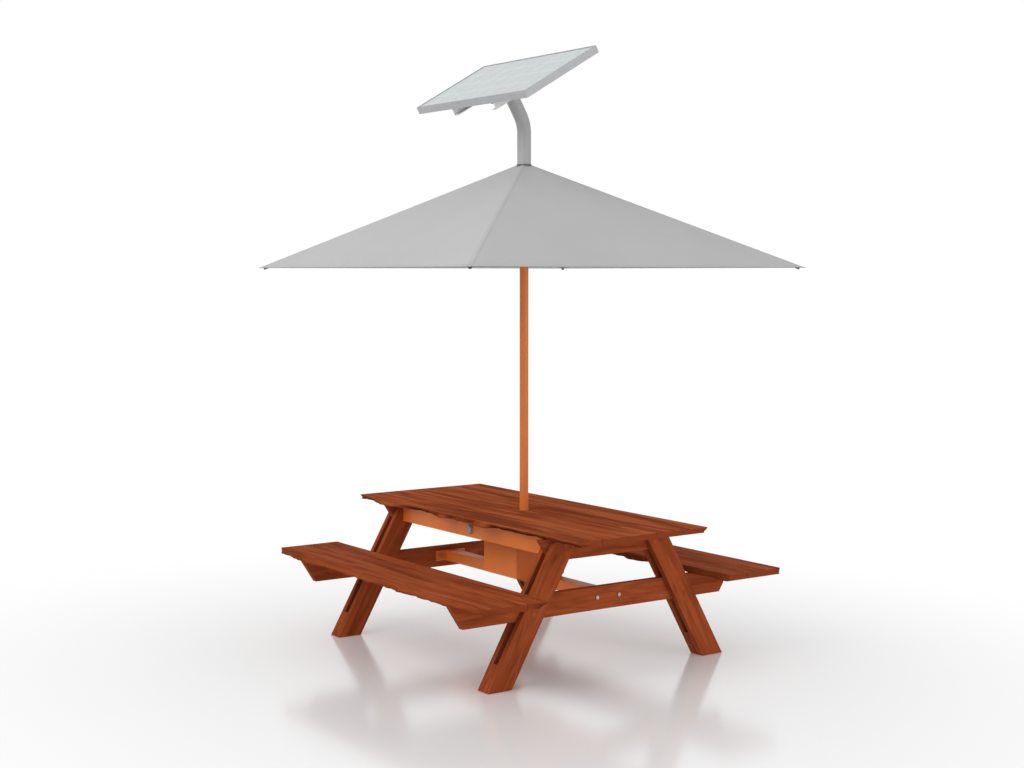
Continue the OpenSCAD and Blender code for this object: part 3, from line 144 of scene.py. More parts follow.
class NodeSheet:
    """Node tree of one finish, with short calls for the nodes that the finishes share."""

    def __init__(self, name: str) -> None:
        """Starts a material that holds its shader, its output and the object's coordinates.

        Args:
            name: the material's name.
        """
        self.material = bpy.data.materials.new(name)
        self.material.use_nodes = True
        self.tree = self.material.node_tree
        self.shader = self.tree.nodes["Principled BSDF"]
        self.coordinates = self.tree.nodes.new("ShaderNodeTexCoord").outputs["Object"]

    def link(self, source: Number | tuple[float, ...], target: Socket) -> None:
        """Joins a socket to a target, or writes plain numbers on the target.

        Args:
            source: socket or numbers.
            target: the input to feed.
        """
        if isinstance(source, Socket):
            self.tree.links.new(source, target)
        else:
            target.default_value = source

    def node(self, kind: str, **settings: object) -> bpy.types.Node:
        """Adds a node of that kind with those settings.

        Args:
            kind: the node's type name.
            settings: properties of the node.

        Returns:
            The node.
        """
        made = self.tree.nodes.new(kind)
        for key, value in settings.items():
            setattr(made, key, value)
        return made

    def placed(
        self, centre: Place = (0.0, 0.0, 0.0), turn: Place = (0.0, 0.0, 0.0), scale: Place = (1.0, 1.0, 1.0)
    ) -> Socket:
        """Object coordinates seen from a centre, turned back by turn, then stretched.

        Args:
            centre: point that becomes the origin, in metres.
            turn: Euler angles of the piece, in degrees.
            scale: factor for each axis after the turn.

        Returns:
            The vector socket.
        """
        back = self.node("ShaderNodeMapping", vector_type="TEXTURE")
        back.inputs["Location"].default_value = centre
        back.inputs["Rotation"].default_value = radians(turn)
        self.link(self.coordinates, back.inputs["Vector"])
        if scale == (1.0, 1.0, 1.0):
            return back.outputs["Vector"]
        wide = self.node("ShaderNodeMapping", vector_type="POINT")
        wide.inputs["Scale"].default_value = scale
        self.link(back.outputs["Vector"], wide.inputs["Vector"])
        return wide.outputs["Vector"]

    def noise(
        self, at: Socket, scale: float, detail: float = 3.0, rough: float = 0.5, bend: float = 0.0
    ) -> Socket:
        """Cloudy noise from 0 to 1.

        Args:
            at: vector socket.
            scale: clouds for each unit of the vector.
            detail: octaves.
            rough: share of the finer octaves.
            bend: distortion.

        Returns:
            The value socket.
        """
        made = self.node("ShaderNodeTexNoise")
        self.link(at, made.inputs["Vector"])
        made.inputs["Scale"].default_value = scale
        made.inputs["Detail"].default_value = detail
        made.inputs["Roughness"].default_value = rough
        made.inputs["Distortion"].default_value = bend
        return made.outputs["Fac"]

    def wave(self, at: Socket, pitch: float, bend: float = 0.0, **settings: str) -> bpy.types.Node:
        """Sine wave from 0 to 1.

        Args:
            at: vector socket.
            pitch: distance from crest to crest, in metres.
            bend: distortion.
            settings: the wave's type and direction.

        Returns:
            The node.
        """
        made = self.node("ShaderNodeTexWave", **settings)
        self.link(at, made.inputs["Vector"])
        made.inputs["Scale"].default_value = WAVE_UNIT / pitch
        made.inputs["Distortion"].default_value = bend
        return made

    def ramp(self, value: Socket, *stops: tuple[float, Colour]) -> Socket:
        """Colour ramp through the stops.

        Args:
            value: value socket from 0 to 1.
            stops: place and colour of each stop, in order.

        Returns:
            The colour socket.
        """
        made = self.node("ShaderNodeValToRGB")
        elements = made.color_ramp.elements
        while len(elements) < len(stops):
            elements.new(0.5)
        for element, (place, colour) in zip(elements, stops):
            element.position = place
            element.color = (*colour, 1.0)
        self.link(value, made.inputs["Fac"])
        return made.outputs["Color"]

    def mix(self, share: Number, first: Shade, second: Shade, way: str = "MIX") -> Socket:
        """Mix of two colours by share.

        Args:
            share: 0 for the first, 1 for the second.
            first: colour or socket.
            second: colour or socket.
            way: blend type.

        Returns:
            The colour socket.
        """
        made = self.node("ShaderNodeMix", data_type="RGBA", blend_type=way)
        for value, name in ((share, "Factor"), (first, "A"), (second, "B")):
            wanted = "VALUE" if name == "Factor" else "RGBA"
            target = next(s for s in made.inputs if s.name == name and s.type == wanted)
            self.link((*value, 1.0) if isinstance(value, tuple) else value, target)
        return next(s for s in made.outputs if s.type == "RGBA")

    def sum(self, way: str, first: Number, second: Number = 0.0) -> Socket:
        """Arithmetic on two values.

        Args:
            way: the Math node's operation.
            first: value or socket.
            second: value or socket.

        Returns:
            The value socket.
        """
        made = self.node("ShaderNodeMath", operation=way)
        self.link(first, made.inputs[0])
        self.link(second, made.inputs[1])
        return made.outputs["Value"]

    def spread(self, value: Socket, low: float, high: float, to_low: float, to_high: float) -> Socket:
        """Straight line map of a value, held at both ends.

        Args:
            value: value socket.
            low: start of the input range.
            high: end of the input range.
            to_low: output at low.
            to_high: output at high.

        Returns:
            The value socket.
        """
        made = self.node("ShaderNodeMapRange", clamp=True)
        self.link(value, made.inputs["Value"])
        limits = {"From Min": low, "From Max": high, "To Min": to_low, "To Max": to_high}
        for name, number in limits.items():
            made.inputs[name].default_value = number
        return made.outputs["Result"]

    def own(self, name: str) -> Socket:
        """A piece's own number at each point, stored under that name."""
        return self.node("ShaderNodeAttribute", attribute_name=name).outputs["Fac"]

    def normal(self) -> Socket:
        """The true surface direction."""
        return self.node("ShaderNodeNewGeometry").outputs["Normal"]

    def part(self, vector: Socket, axis: str) -> Socket:
        """A vector's X, Y or Z.

        Args:
            vector: vector socket.
            axis: the part's name.

        Returns:
            The value socket.
        """
        split = self.node("ShaderNodeSeparateXYZ")
        self.link(vector, split.inputs["Vector"])
        return split.outputs[axis]

    def facing(self, turn: Place) -> Socket:
        """How squarely the surface faces along a turned piece's own X, either way.

        It is the size of the direction's X, spread from 0 at 0.7 to 1 at 0.95.

        Args:
            turn: Euler angles of the piece, in degrees.

        Returns:
            The value socket.
        """
        back = self.node("ShaderNodeMapping", vector_type="TEXTURE")
        back.inputs["Rotation"].default_value = radians(turn)
        self.link(self.normal(), back.inputs["Vector"])
        own_x = self.part(back.outputs["Vector"], "X")
        return self.spread(self.sum("ABSOLUTE", own_x), 0.7, 0.95, 0.0, 1.0)

    def rounded(self, radius: float) -> Socket:
        """Surface direction with its edges rounded by that radius, in metres."""
        made = self.node("ShaderNodeBevel", samples=6)
        made.inputs["Radius"].default_value = radius
        return made.outputs["Normal"]

    def edge_wear(self, soft: Socket) -> Socket:
        """1 along the edges and 0 on the flats.

        It is the cosine between the rounded and the true direction, spread from 0 at 0.995 to 1 at 0.8.

        Args:
            soft: rounded surface direction.

        Returns:
            The value socket.
        """
        dot = self.node("ShaderNodeVectorMath", operation="DOT_PRODUCT")
        self.link(soft, dot.inputs[0])
        self.link(self.normal(), dot.inputs[1])
        return self.spread(dot.outputs["Value"], 0.995, 0.8, 0.0, 1.0)

    def bump(self, height: Socket, depth: float, under: Socket | None = None) -> Socket:
        """Bumps of that depth, in metres, on a direction.

        Args:
            height: value socket from 0 to 1.
            depth: height of the tallest bump.
            under: surface direction to start from.

        Returns:
            The direction socket.
        """
        made = self.node("ShaderNodeBump")
        made.inputs["Distance"].default_value = depth
        self.link(height, made.inputs["Height"])
        if under is not None:
            self.link(under, made.inputs["Normal"])
        return made.outputs["Normal"]

    def finish(
        self, colour: Shade, roughness: Number, normal: Socket | None = None, **plain: float
    ) -> Material:
        """Joins the shader's sockets and writes its constants.

        Args:
            colour: colour or socket.
            roughness: value or socket.
            normal: direction socket.
            plain: other sockets by name, with _ for a space.

        Returns:
            The material.
        """
        inputs = self.shader.inputs
        self.link((*colour, 1.0) if isinstance(colour, tuple) else colour, inputs["Base Color"])
        self.link(roughness, inputs["Roughness"])
        if normal is not None:
            self.link(normal, inputs["Normal"])
        for name, value in plain.items():
            inputs[name.replace("_", " ")].default_value = value
        return self.material


# Finishes


@dataclass(frozen=True)
class Figure:
    """Clouds of a timber: their length and width in metres, their contrast, and the varnish's glaze."""

    length: float = 0.36
    width: float = 0.060
    contrast: float = 0.48
    glaze: float = 0.004


@dataclass(frozen=True)
class VarnishedTimber:
    """Reddish brown varnish over mottled long grain, with streaks, pores, a few knots and ringed ends."""

    name: str
    centre: Place = (0.0, 0.0, 0.0)
    turn: Place = (0.0, 0.0, 0.0)
    tint: float = 0.5
    figure: Figure = Figure()
    waney: bool = False
    dark: Colour = screen(116, 52, 28)
    middle: Colour = screen(150, 72, 39)
    light: Colour = screen(174, 92, 54)
    # Bare wood of the live edge, toned darker as painted shade on that face where the key light falls
    bare_and_shade: Colour = screen(120, 56, 28)
    # Colour of the painted shade in the live face's hollows and under its lower rim
    hollow: Colour = screen(74, 34, 20)
    streak_share: float = 0.17
    tint_share: float = 0.30
    ring_pitch: float = 0.007
    arris: float = 0.0016
    relief: float = 0.0005

    def grain(self, s: NodeSheet) -> tuple[Socket, Socket, Socket]:
        """Long clouds, finer streaks and short pores, all drawn out along the piece's own X.

        Args:
            s: the sheet that the nodes go on.

        Returns:
            The clouds, the streaks and the pores, each from 0 to 1.
        """
        along, across = 1 / self.figure.length, 1.5 / self.figure.width
        clouds = s.placed(self.centre, self.turn, (along, across, across))
        streaks = s.placed(self.centre, self.turn, (5.0, 62.0, 62.0))
        pores = s.placed(self.centre, self.turn, (16.0, 430.0, 430.0))
        return (
            s.noise(clouds, 1.0, 2.0, 0.5, 0.9),
            s.noise(streaks, 1.0, 5.0, 0.6, 0.9),
            s.noise(pores, 1.0, 2.0, 0.5),
        )

    def end_grain(self, s: NodeSheet) -> Socket:
        """Colour of a sawn end: darker wood with rings of the ring pitch round the piece's own X.

        Args:
            s: the sheet that the nodes go on.

        Returns:
            The colour socket.
        """
        at = s.placed(self.centre, self.turn)
        rings = s.wave(at, self.ring_pitch, 1.5, wave_type="RINGS", rings_direction="X")
        rings.inputs["Detail Scale"].default_value = 0.4
        shade = s.spread(rings.outputs["Fac"], 0.2, 0.9, 0.0, 0.55)
        return s.mix(shade, tuple(0.5 * (a + b) for a, b in zip(self.dark, self.middle)), self.dark)

    def material(self) -> Material:
        """The finish, with the grain along the piece's own X."""
        s = NodeSheet(self.name)
        broad, fine, pore = self.grain(s)
        clouds = s.sum("MULTIPLY", s.sum("SUBTRACT", broad, 0.5), self.figure.contrast)
        streaks = s.sum("MULTIPLY", s.sum("SUBTRACT", fine, 0.5), self.streak_share)
        body = s.sum("ADD", s.sum("ADD", clouds, streaks), 0.5 + (self.tint - 0.5) * self.tint_share)
        colour = s.ramp(body, (0.34, self.dark), (0.50, self.middle), (0.68, self.light))
        knot = s.node("ShaderNodeTexVoronoi", feature="F1")
        s.link(s.placed(self.centre, self.turn, (1.1, 3.4, 3.4)), knot.inputs["Vector"])
        knot.inputs["Scale"].default_value = 1.7
        eye = s.spread(knot.outputs["Distance"], 0.03, 0.10, 0.6, 0.0)
        colour = s.mix(eye, colour, toned(self.dark, 0.55))
        dash = s.spread(pore, 0.60, 0.74, 0.0, 0.28)
        colour = s.mix(dash, colour, toned(self.dark, 0.6))
        colour = s.mix(s.facing(self.turn), colour, self.end_grain(s))
        if self.waney:
            # The live edge takes the bare wood colour, which is darkened as painted shade
            bare_and_shade = s.sum("MULTIPLY", s.own("wane"), s.spread(broad, 0.35, 0.65, 0.75, 0.35))
            colour = s.mix(bare_and_shade, colour, self.bare_and_shade)
            # Painted shade in the live face's hollows and along its lower rim
            colour = s.mix(s.sum("MULTIPLY", s.own("hollow"), 0.8), colour, self.hollow)
        soft = s.rounded(self.arris)
        worn = s.sum("MULTIPLY", s.edge_wear(soft), s.spread(broad, 0.35, 0.7, 0.1, 0.5))
        colour = s.mix(worn, colour, self.light)
        rough = s.spread(fine, NOISE_LOW, NOISE_HIGH, 0.52, 0.66)
        height = s.sum("SUBTRACT", s.sum("MULTIPLY", fine, 0.7), s.sum("MULTIPLY", dash, 0.5))
        normal = s.bump(height, self.relief, soft)
        return s.finish(colour, rough, normal, Specular_IOR_Level=self.figure.glaze)


@dataclass(frozen=True)
class PowderCoat:
    """Baked powder coat: orange peel, faint cloudiness, specks of dust and rubbed edges."""

    name: str
    colour: Colour
    rubbed: Colour
    roughness: float = 0.42
    arris: float = 0.0012

    def material(self) -> Material:
        """The finish."""
        s = NodeSheet(self.name)
        at = s.placed()
        cloud = s.noise(at, 5.0, 3.0, 0.5)
        peel = s.noise(at, 900.0, 2.0, 0.5)
        speck = s.noise(at, 160.0, 4.0, 0.7)
        share = s.spread(cloud, NOISE_LOW, NOISE_HIGH, 0.0, 1.0)
        colour = s.mix(share, toned(self.colour, 0.93), toned(self.colour, 1.06))
        colour = s.mix(s.spread(speck, 0.66, 0.76, 0.0, 0.35), colour, toned(self.colour, 0.7))
        soft = s.rounded(self.arris)
        worn = s.sum("MULTIPLY", s.edge_wear(soft), s.spread(speck, 0.4, 0.6, 0.15, 0.6))
        colour = s.mix(worn, colour, self.rubbed)
        rough = s.spread(cloud, NOISE_LOW, NOISE_HIGH, self.roughness - 0.05, self.roughness + 0.06)
        return s.finish(colour, rough, s.bump(peel, 0.00006, soft), Specular_IOR_Level=0.4)


@dataclass(frozen=True)
class WornMetal:
    """Bare or plated metal with a fine brushed direction, and spangles where a scale is given for them."""

    name: str
    colour: Colour
    roughness: float = 0.35
    brush: Place = (6.0, 900.0, 900.0)
    turn: Place = (0.0, 0.0, 0.0)
    centre: Place = (0.0, 0.0, 0.0)
    spangle: float = 0.0
    metallic: float = 1.0
    arris: float = 0.0006

    def material(self) -> Material:
        """The finish."""
        s = NodeSheet(self.name)
        line = s.noise(s.placed(self.centre, self.turn, self.brush), 1.0, 3.0, 0.6)
        cloud = s.noise(s.placed(), 14.0, 4.0, 0.6)
        shade = s.sum("ADD", s.sum("MULTIPLY", line, 0.5), s.sum("MULTIPLY", cloud, 0.5))
        dull, bright = toned(self.colour, 0.84), toned(self.colour, 1.1)
        colour = s.ramp(shade, (NOISE_LOW, dull), (NOISE_HIGH, bright))
        if self.spangle:
            flake = s.node("ShaderNodeTexVoronoi", feature="F1")
            s.link(s.placed(), flake.inputs["Vector"])
            flake.inputs["Scale"].default_value = self.spangle
            colour = s.mix(0.16, colour, flake.outputs["Color"], "SOFT_LIGHT")
        soft = s.rounded(self.arris)
        rough = s.spread(shade, NOISE_LOW, NOISE_HIGH, self.roughness - 0.07, self.roughness + 0.1)
        return s.finish(colour, rough, s.bump(line, 0.00003, soft), Metallic=self.metallic)


@dataclass(frozen=True)
class Moulded:
    """Even matt surface with a fine spark texture and paler edges."""

    name: str
    colour: Colour
    roughness: float = 0.5
    grain: float = 1400.0
    depth: float = 0.00008
    arris: float = 0.0007

    def material(self) -> Material:
        """The finish."""
        s = NodeSheet(self.name)
        at = s.placed()
        grain = s.noise(at, self.grain, 2.0, 0.5)
        cloud = s.noise(at, 22.0, 3.0, 0.55)
        dull, bright = toned(self.colour, 0.86), toned(self.colour, 1.14)
        colour = s.ramp(cloud, (NOISE_LOW, dull), (NOISE_HIGH, bright))
        soft = s.rounded(self.arris)
        colour = s.mix(s.sum("MULTIPLY", s.edge_wear(soft), 0.35), colour, toned(self.colour, 1.6, 0.02))
        rough = s.spread(cloud, NOISE_LOW, NOISE_HIGH, self.roughness - 0.06, self.roughness + 0.08)
        return s.finish(colour, rough, s.bump(grain, self.depth, soft))


@dataclass(frozen=True)
class CoatedCloth:
    """Light grey coated cloth: plain weave, painted shade along the eave and stitched seams over the ribs.
    """

    name: str
    colour: Colour = screen(178, 178, 178)
    # Colour of the painted shade along the eave, for the shaded underside seen edge on
    edge: Colour = screen(96, 96, 98)
    thread_pitch: float = 0.0022
    seam: float = 0.011
    hem: float = 0.024

    def material(self) -> Material:
        """The finish. Seams and hem follow the sheet's own distances from its ridges and its eave."""
        s = NodeSheet(self.name)
        at = s.placed()
        warp = s.wave(at, self.thread_pitch, 0.35, wave_type="BANDS", bands_direction="X")
        weft = s.wave(at, self.thread_pitch, 0.35, wave_type="BANDS", bands_direction="Y")
        weave = s.sum("MULTIPLY", warp.outputs["Fac"], weft.outputs["Fac"])
        cloud = s.noise(at, 2.4, 4.0, 0.55)
        crease = s.noise(s.placed(scale=(1.0, 1.0, 3.0)), 7.0, 3.0, 0.5, 0.6)
        dull, bright = toned(self.colour, 0.955), toned(self.colour, 1.02)
        colour = s.ramp(cloud, (NOISE_LOW, dull), (NOISE_HIGH, bright))
        colour = s.mix(s.spread(weave, 0.0, 1.0, 0.10, 0.0), colour, toned(self.colour, 0.6))
        ridge, eave = s.own("ridge"), s.own("eave")
        seam = s.spread(s.sum("ABSOLUTE", s.sum("SUBTRACT", ridge, self.seam)), 0.0006, 0.0016, 1.0, 0.0)
        hem = s.spread(s.sum("ABSOLUTE", s.sum("SUBTRACT", eave, self.hem)), 0.0008, 0.002, 1.0, 0.0)
        stitch = s.sum("MAXIMUM", seam, hem)
        colour = s.mix(s.sum("MULTIPLY", stitch, 0.22), colour, toned(self.colour, 0.45))
        # Painted shade: the cloth darkens over the last 6 mm up to the eave
        colour = s.mix(s.spread(eave, 0.002, 0.006, 0.8, 0.0), colour, self.edge)
        lap, fold = s.spread(ridge, 0.010, 0.013, 1.0, 0.0), s.spread(eave, 0.023, 0.026, 1.0, 0.0)
        doubled = s.sum("MULTIPLY", s.sum("MAXIMUM", lap, fold), 0.6)
        high = s.sum("SUBTRACT", doubled, s.sum("MULTIPLY", stitch, 0.5))
        normal = s.bump(weave, 0.00025, s.bump(high, 0.0012, s.bump(crease, 0.002)))
        rough = s.spread(weave, 0.0, 1.0, 0.62, 0.74)
        return s.finish(colour, rough, normal, Sheen_Weight=0.15, Sheen_Roughness=0.4)


@dataclass(frozen=True)
class PanelGlass:
    """Pale laminated glass with the cells and their ribbons faintly behind it, and a white back sheet."""

    name: str
    centre: Place
    tilt: float
    cell: float = 0.1265
    gap: float = 0.0014
    ribbons: int = 3
    pale: Colour = screen(171, 179, 180)
    deep: Colour = screen(154, 165, 168)
    ribbon: Colour = screen(222, 224, 224)
    between: Colour = screen(216, 219, 218)
    back: Colour = screen(206, 208, 209)

    def material(self) -> Material:
        """The finish. Cells are a square grid in the panel's own plane, and ribbons cross each cell."""
        s = NodeSheet(self.name)
        flat = s.placed(self.centre, (self.tilt, 0.0, 0.0))
        grid = s.node("ShaderNodeTexBrick", offset=0.0, squash=1.0)
        s.link(flat, grid.inputs["Vector"])
        sizes = {"Scale": 1.0, "Brick Width": self.cell, "Row Height": self.cell, "Mortar Size": self.gap}
        for name, value in sizes.items():
            grid.inputs[name].default_value = value
        bands = s.wave(flat, self.cell / self.ribbons, wave_type="BANDS", bands_direction="Y")
        lines = s.spread(bands.outputs["Fac"], 0.985, 0.998, 0.0, 0.4)
        crystal = s.noise(flat, 40.0, 3.0, 0.6, 0.8)
        colour = s.ramp(crystal, (NOISE_LOW, self.deep), (NOISE_HIGH, self.pale))
        colour = s.mix(lines, colour, self.ribbon)
        colour = s.mix(grid.outputs["Fac"], colour, self.between)
        colour = s.mix(s.spread(s.part(s.normal(), "Z"), -0.1, -0.3, 0.0, 1.0), colour, self.back)
        return s.finish(colour, s.spread(crystal, NOISE_LOW, NOISE_HIGH, 0.10, 0.16), s.rounded(0.0008))


# Mesh helpers


def grid_faces(rows: int, columns: int) -> np.ndarray:
    """Quads of a grid stored row by row, whose rows close on themselves.

    Args:
        rows: number of rows.
        columns: number of points in a row.

    Returns:
        Four corner numbers for each face.
    """
    i = np.arange(rows - 1)[:, None] * columns
    j = np.arange(columns)[None, :]
    k = (j + 1) % columns
    return np.stack([i + j, i + k, i + columns + k, i + columns + j], axis=-1).reshape(-1, 4)


def new_piece(
    name: str, points: np.ndarray, faces: list[list[int]], material: Material, sharp: float = 38.0
) -> bpy.types.Object:
    """Makes a mesh object at the origin from points and faces.

    Args:
        name: the object's name.
        points: places in metres, one row each.
        faces: corner numbers of each face.
        material: its finish.
        sharp: edges that turn by more than this many degrees stay crisp.

    Returns:
        The object.
    """
    mesh = bpy.data.meshes.new(name)
    mesh.from_pydata(points.reshape(-1, 3).tolist(), [], faces)
    mesh.validate()
    mesh.shade_smooth()
    mesh.set_sharp_from_angle(angle=math.radians(sharp))
    mesh.materials.append(material)
    made = bpy.data.objects.new(name, mesh)
    bpy.context.scene.collection.objects.link(made)
    return made


def store(piece: bpy.types.Object, name: str, values: np.ndarray) -> None:
    """Stores a number for each point of a piece, for its finish to read."""
    numbers = piece.data.attributes.new(name, "FLOAT", "POINT").data
    numbers.foreach_set("value", values.astype(np.float32).ravel())


def dress(node: str, material: Material) -> None:
    """Puts a finish on a CAD node."""
    mesh = frame["nodes"][node].data
    mesh.materials.clear()
    mesh.materials.append(material)


def weld_bead(
    name: str, path: np.ndarray, normal: Vector, radius: float, material: Material, body: str
) -> bpy.types.Object:
    """A closed weld bead: a circle carried along the path, whose radius ripples as a sine of the length.

    Args:
        name: the bead's name.
        path: closed line of points in metres.
        normal: direction square to the path's plane.
        radius: mean radius of the bead.
        material: its finish.
        body: the CAD body that it rides on.

    Returns:
        The bead.
    """
    up = np.array(normal.normalized())
    along = np.roll(path, -1, 0) - np.roll(path, 1, 0)
    along /= np.linalg.norm(along, axis=1, keepdims=True)
    out = np.cross(along, up)
    steps = np.linalg.norm(np.diff(path, axis=0), axis=1)
    run = np.concatenate([[0.0], np.cumsum(steps)])
    size = radius * (1 + BEAD_SWELL * np.sin(run / BEAD_RIPPLE * 2 * math.pi))
    turn = np.linspace(0, 2 * math.pi, BEAD_SIDES, endpoint=False)[None, :, None]
    ring = np.cos(turn) * out[:, None, :] + np.sin(turn) * up
    points = path[:, None, :] + size[:, None, None] * ring
    faces = (grid_faces(len(path) + 1, BEAD_SIDES) % (len(path) * BEAD_SIDES)).tolist()
    piece = new_piece(name, points, faces, material, 80.0)
    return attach(piece, body)


def circle(centre: np.ndarray, radius: float, axes: tuple[Vector, Vector], count: int) -> np.ndarray:
    """Closed circle: the centre plus the radius times a cosine along one axis and a sine along the other.

    Args:
        centre: middle of the circle.
        radius: its radius in metres.
        axes: the two directions.
        count: number of points.

    Returns:
        The points.
    """
    turn = np.linspace(0, 2 * math.pi, count, endpoint=False)[:, None]
    return centre + radius * (np.cos(turn) * np.array(axes[0]) + np.sin(turn) * np.array(axes[1]))


def rounded_loop(centre: Place, half: Span, axes: tuple[Vector, Vector], corner: float) -> np.ndarray:
    """Closed loop round a rectangle with round corners.

    Along each axis, a point lies at the corner circle's centre plus the corner times the cosine or sine of
    its turn. Between two corners it moves over from one centre to the next.

    Args:
        centre: middle of the loop.
        half: half sizes along the two axes.
        axes: the two directions.
        corner: radius of the corners.

    Returns:
        The points.
    """
    count, start, steep = 240, 0.01, 40
    turn = np.linspace(0, 2 * math.pi, count, endpoint=False) + start
    u = np.clip(np.cos(turn) * steep, -1, 1) * (half[0] - corner) + corner * np.cos(turn)
    v = np.clip(np.sin(turn) * steep, -1, 1) * (half[1] - corner) + corner * np.sin(turn)
    return np.array(centre) + u[:, None] * np.array(axes[0]) + v[:, None] * np.array(axes[1])


# Woodwork

# Points of the live edges: place along the plank from -1 to 1, and the cut at the underside in millimetres
EDGE_TOP_LEFT: Knots = (
    (-1, 12), (-0.972, 32), (-0.92, 36), (-0.79, -9), (-0.71, -14), (-0.5, 22), (-0.42, 52), (-0.34, 48),
    (-0.24, 17), (-0.15, -10), (-0.07, 28), (0, 12), (0.1, 8), (0.19, -6), (0.25, -13), (0.31, 42),
    (0.4, 38), (0.51, 40), (0.6, 48), (0.76, 32), (0.9, 46), (1, 34),
)
EDGE_TOP_RIGHT: Knots = (
    (-1, 24), (-0.84, 40), (-0.66, 6), (-0.5, -6), (-0.3, 30), (-0.12, 44), (0.05, 10), (0.22, -4),
    (0.4, 26), (0.58, 38), (0.74, 6), (0.88, 14), (1, 24),
)
EDGE_BENCH_OUT_LEFT: Knots = (
    (-1, 1), (-0.88, -2), (-0.75, -22), (-0.68, -35), (-0.57, -20), (-0.45, -11), (-0.26, -16), (-0.1, -22),
    (0.1, -20), (0.25, -28), (0.42, -26), (0.6, -22), (0.75, -20), (0.9, -8), (1, 8),
)
EDGE_BENCH_IN_LEFT: Knots = (
    (-1, 14), (-0.84, 18), (-0.57, 42), (-0.4, 30), (-0.2, 16), (0, 12), (0.3, 10), (0.55, -4), (0.72, -14),
    (0.86, 20), (1, 58),
)
EDGE_BENCH_IN_RIGHT: Knots = (
    (-1, 20), (-0.7, 4), (-0.45, 26), (-0.2, -4), (0.05, 15), (0.14, 8), (0.24, -16), (0.31, -8),
    (0.35, 16), (0.5, 22), (0.7, -8), (0.86, -4), (1, -16),
)
EDGE_BENCH_OUT_RIGHT: Knots = ((-1, 0), (-0.6, -10), (-0.2, 8), (0.3, -8), (0.7, 4), (1, 6))


@dataclass(frozen=True)
class Stock:
    """What the boards of one surface share: underside, thickness and length in metres, and figure."""

    bottom: float
    thickness: float
    length: float
    figure: Figure


@dataclass(frozen=True)
class Stick:
    """A sawn timber: its node, the place that its grain is cut from, its turn, its tint and its figure."""

    node: str
    centre: Place
    turn: Place
    tint: float
    figure: Figure = Figure()

    def dress(self) -> None:
        """Puts its own cut of the timber on its node."""
        finish = VarnishedTimber(f"timber {self.node}", self.centre, self.turn, self.tint, self.figure)
        dress(self.node, finish.material())


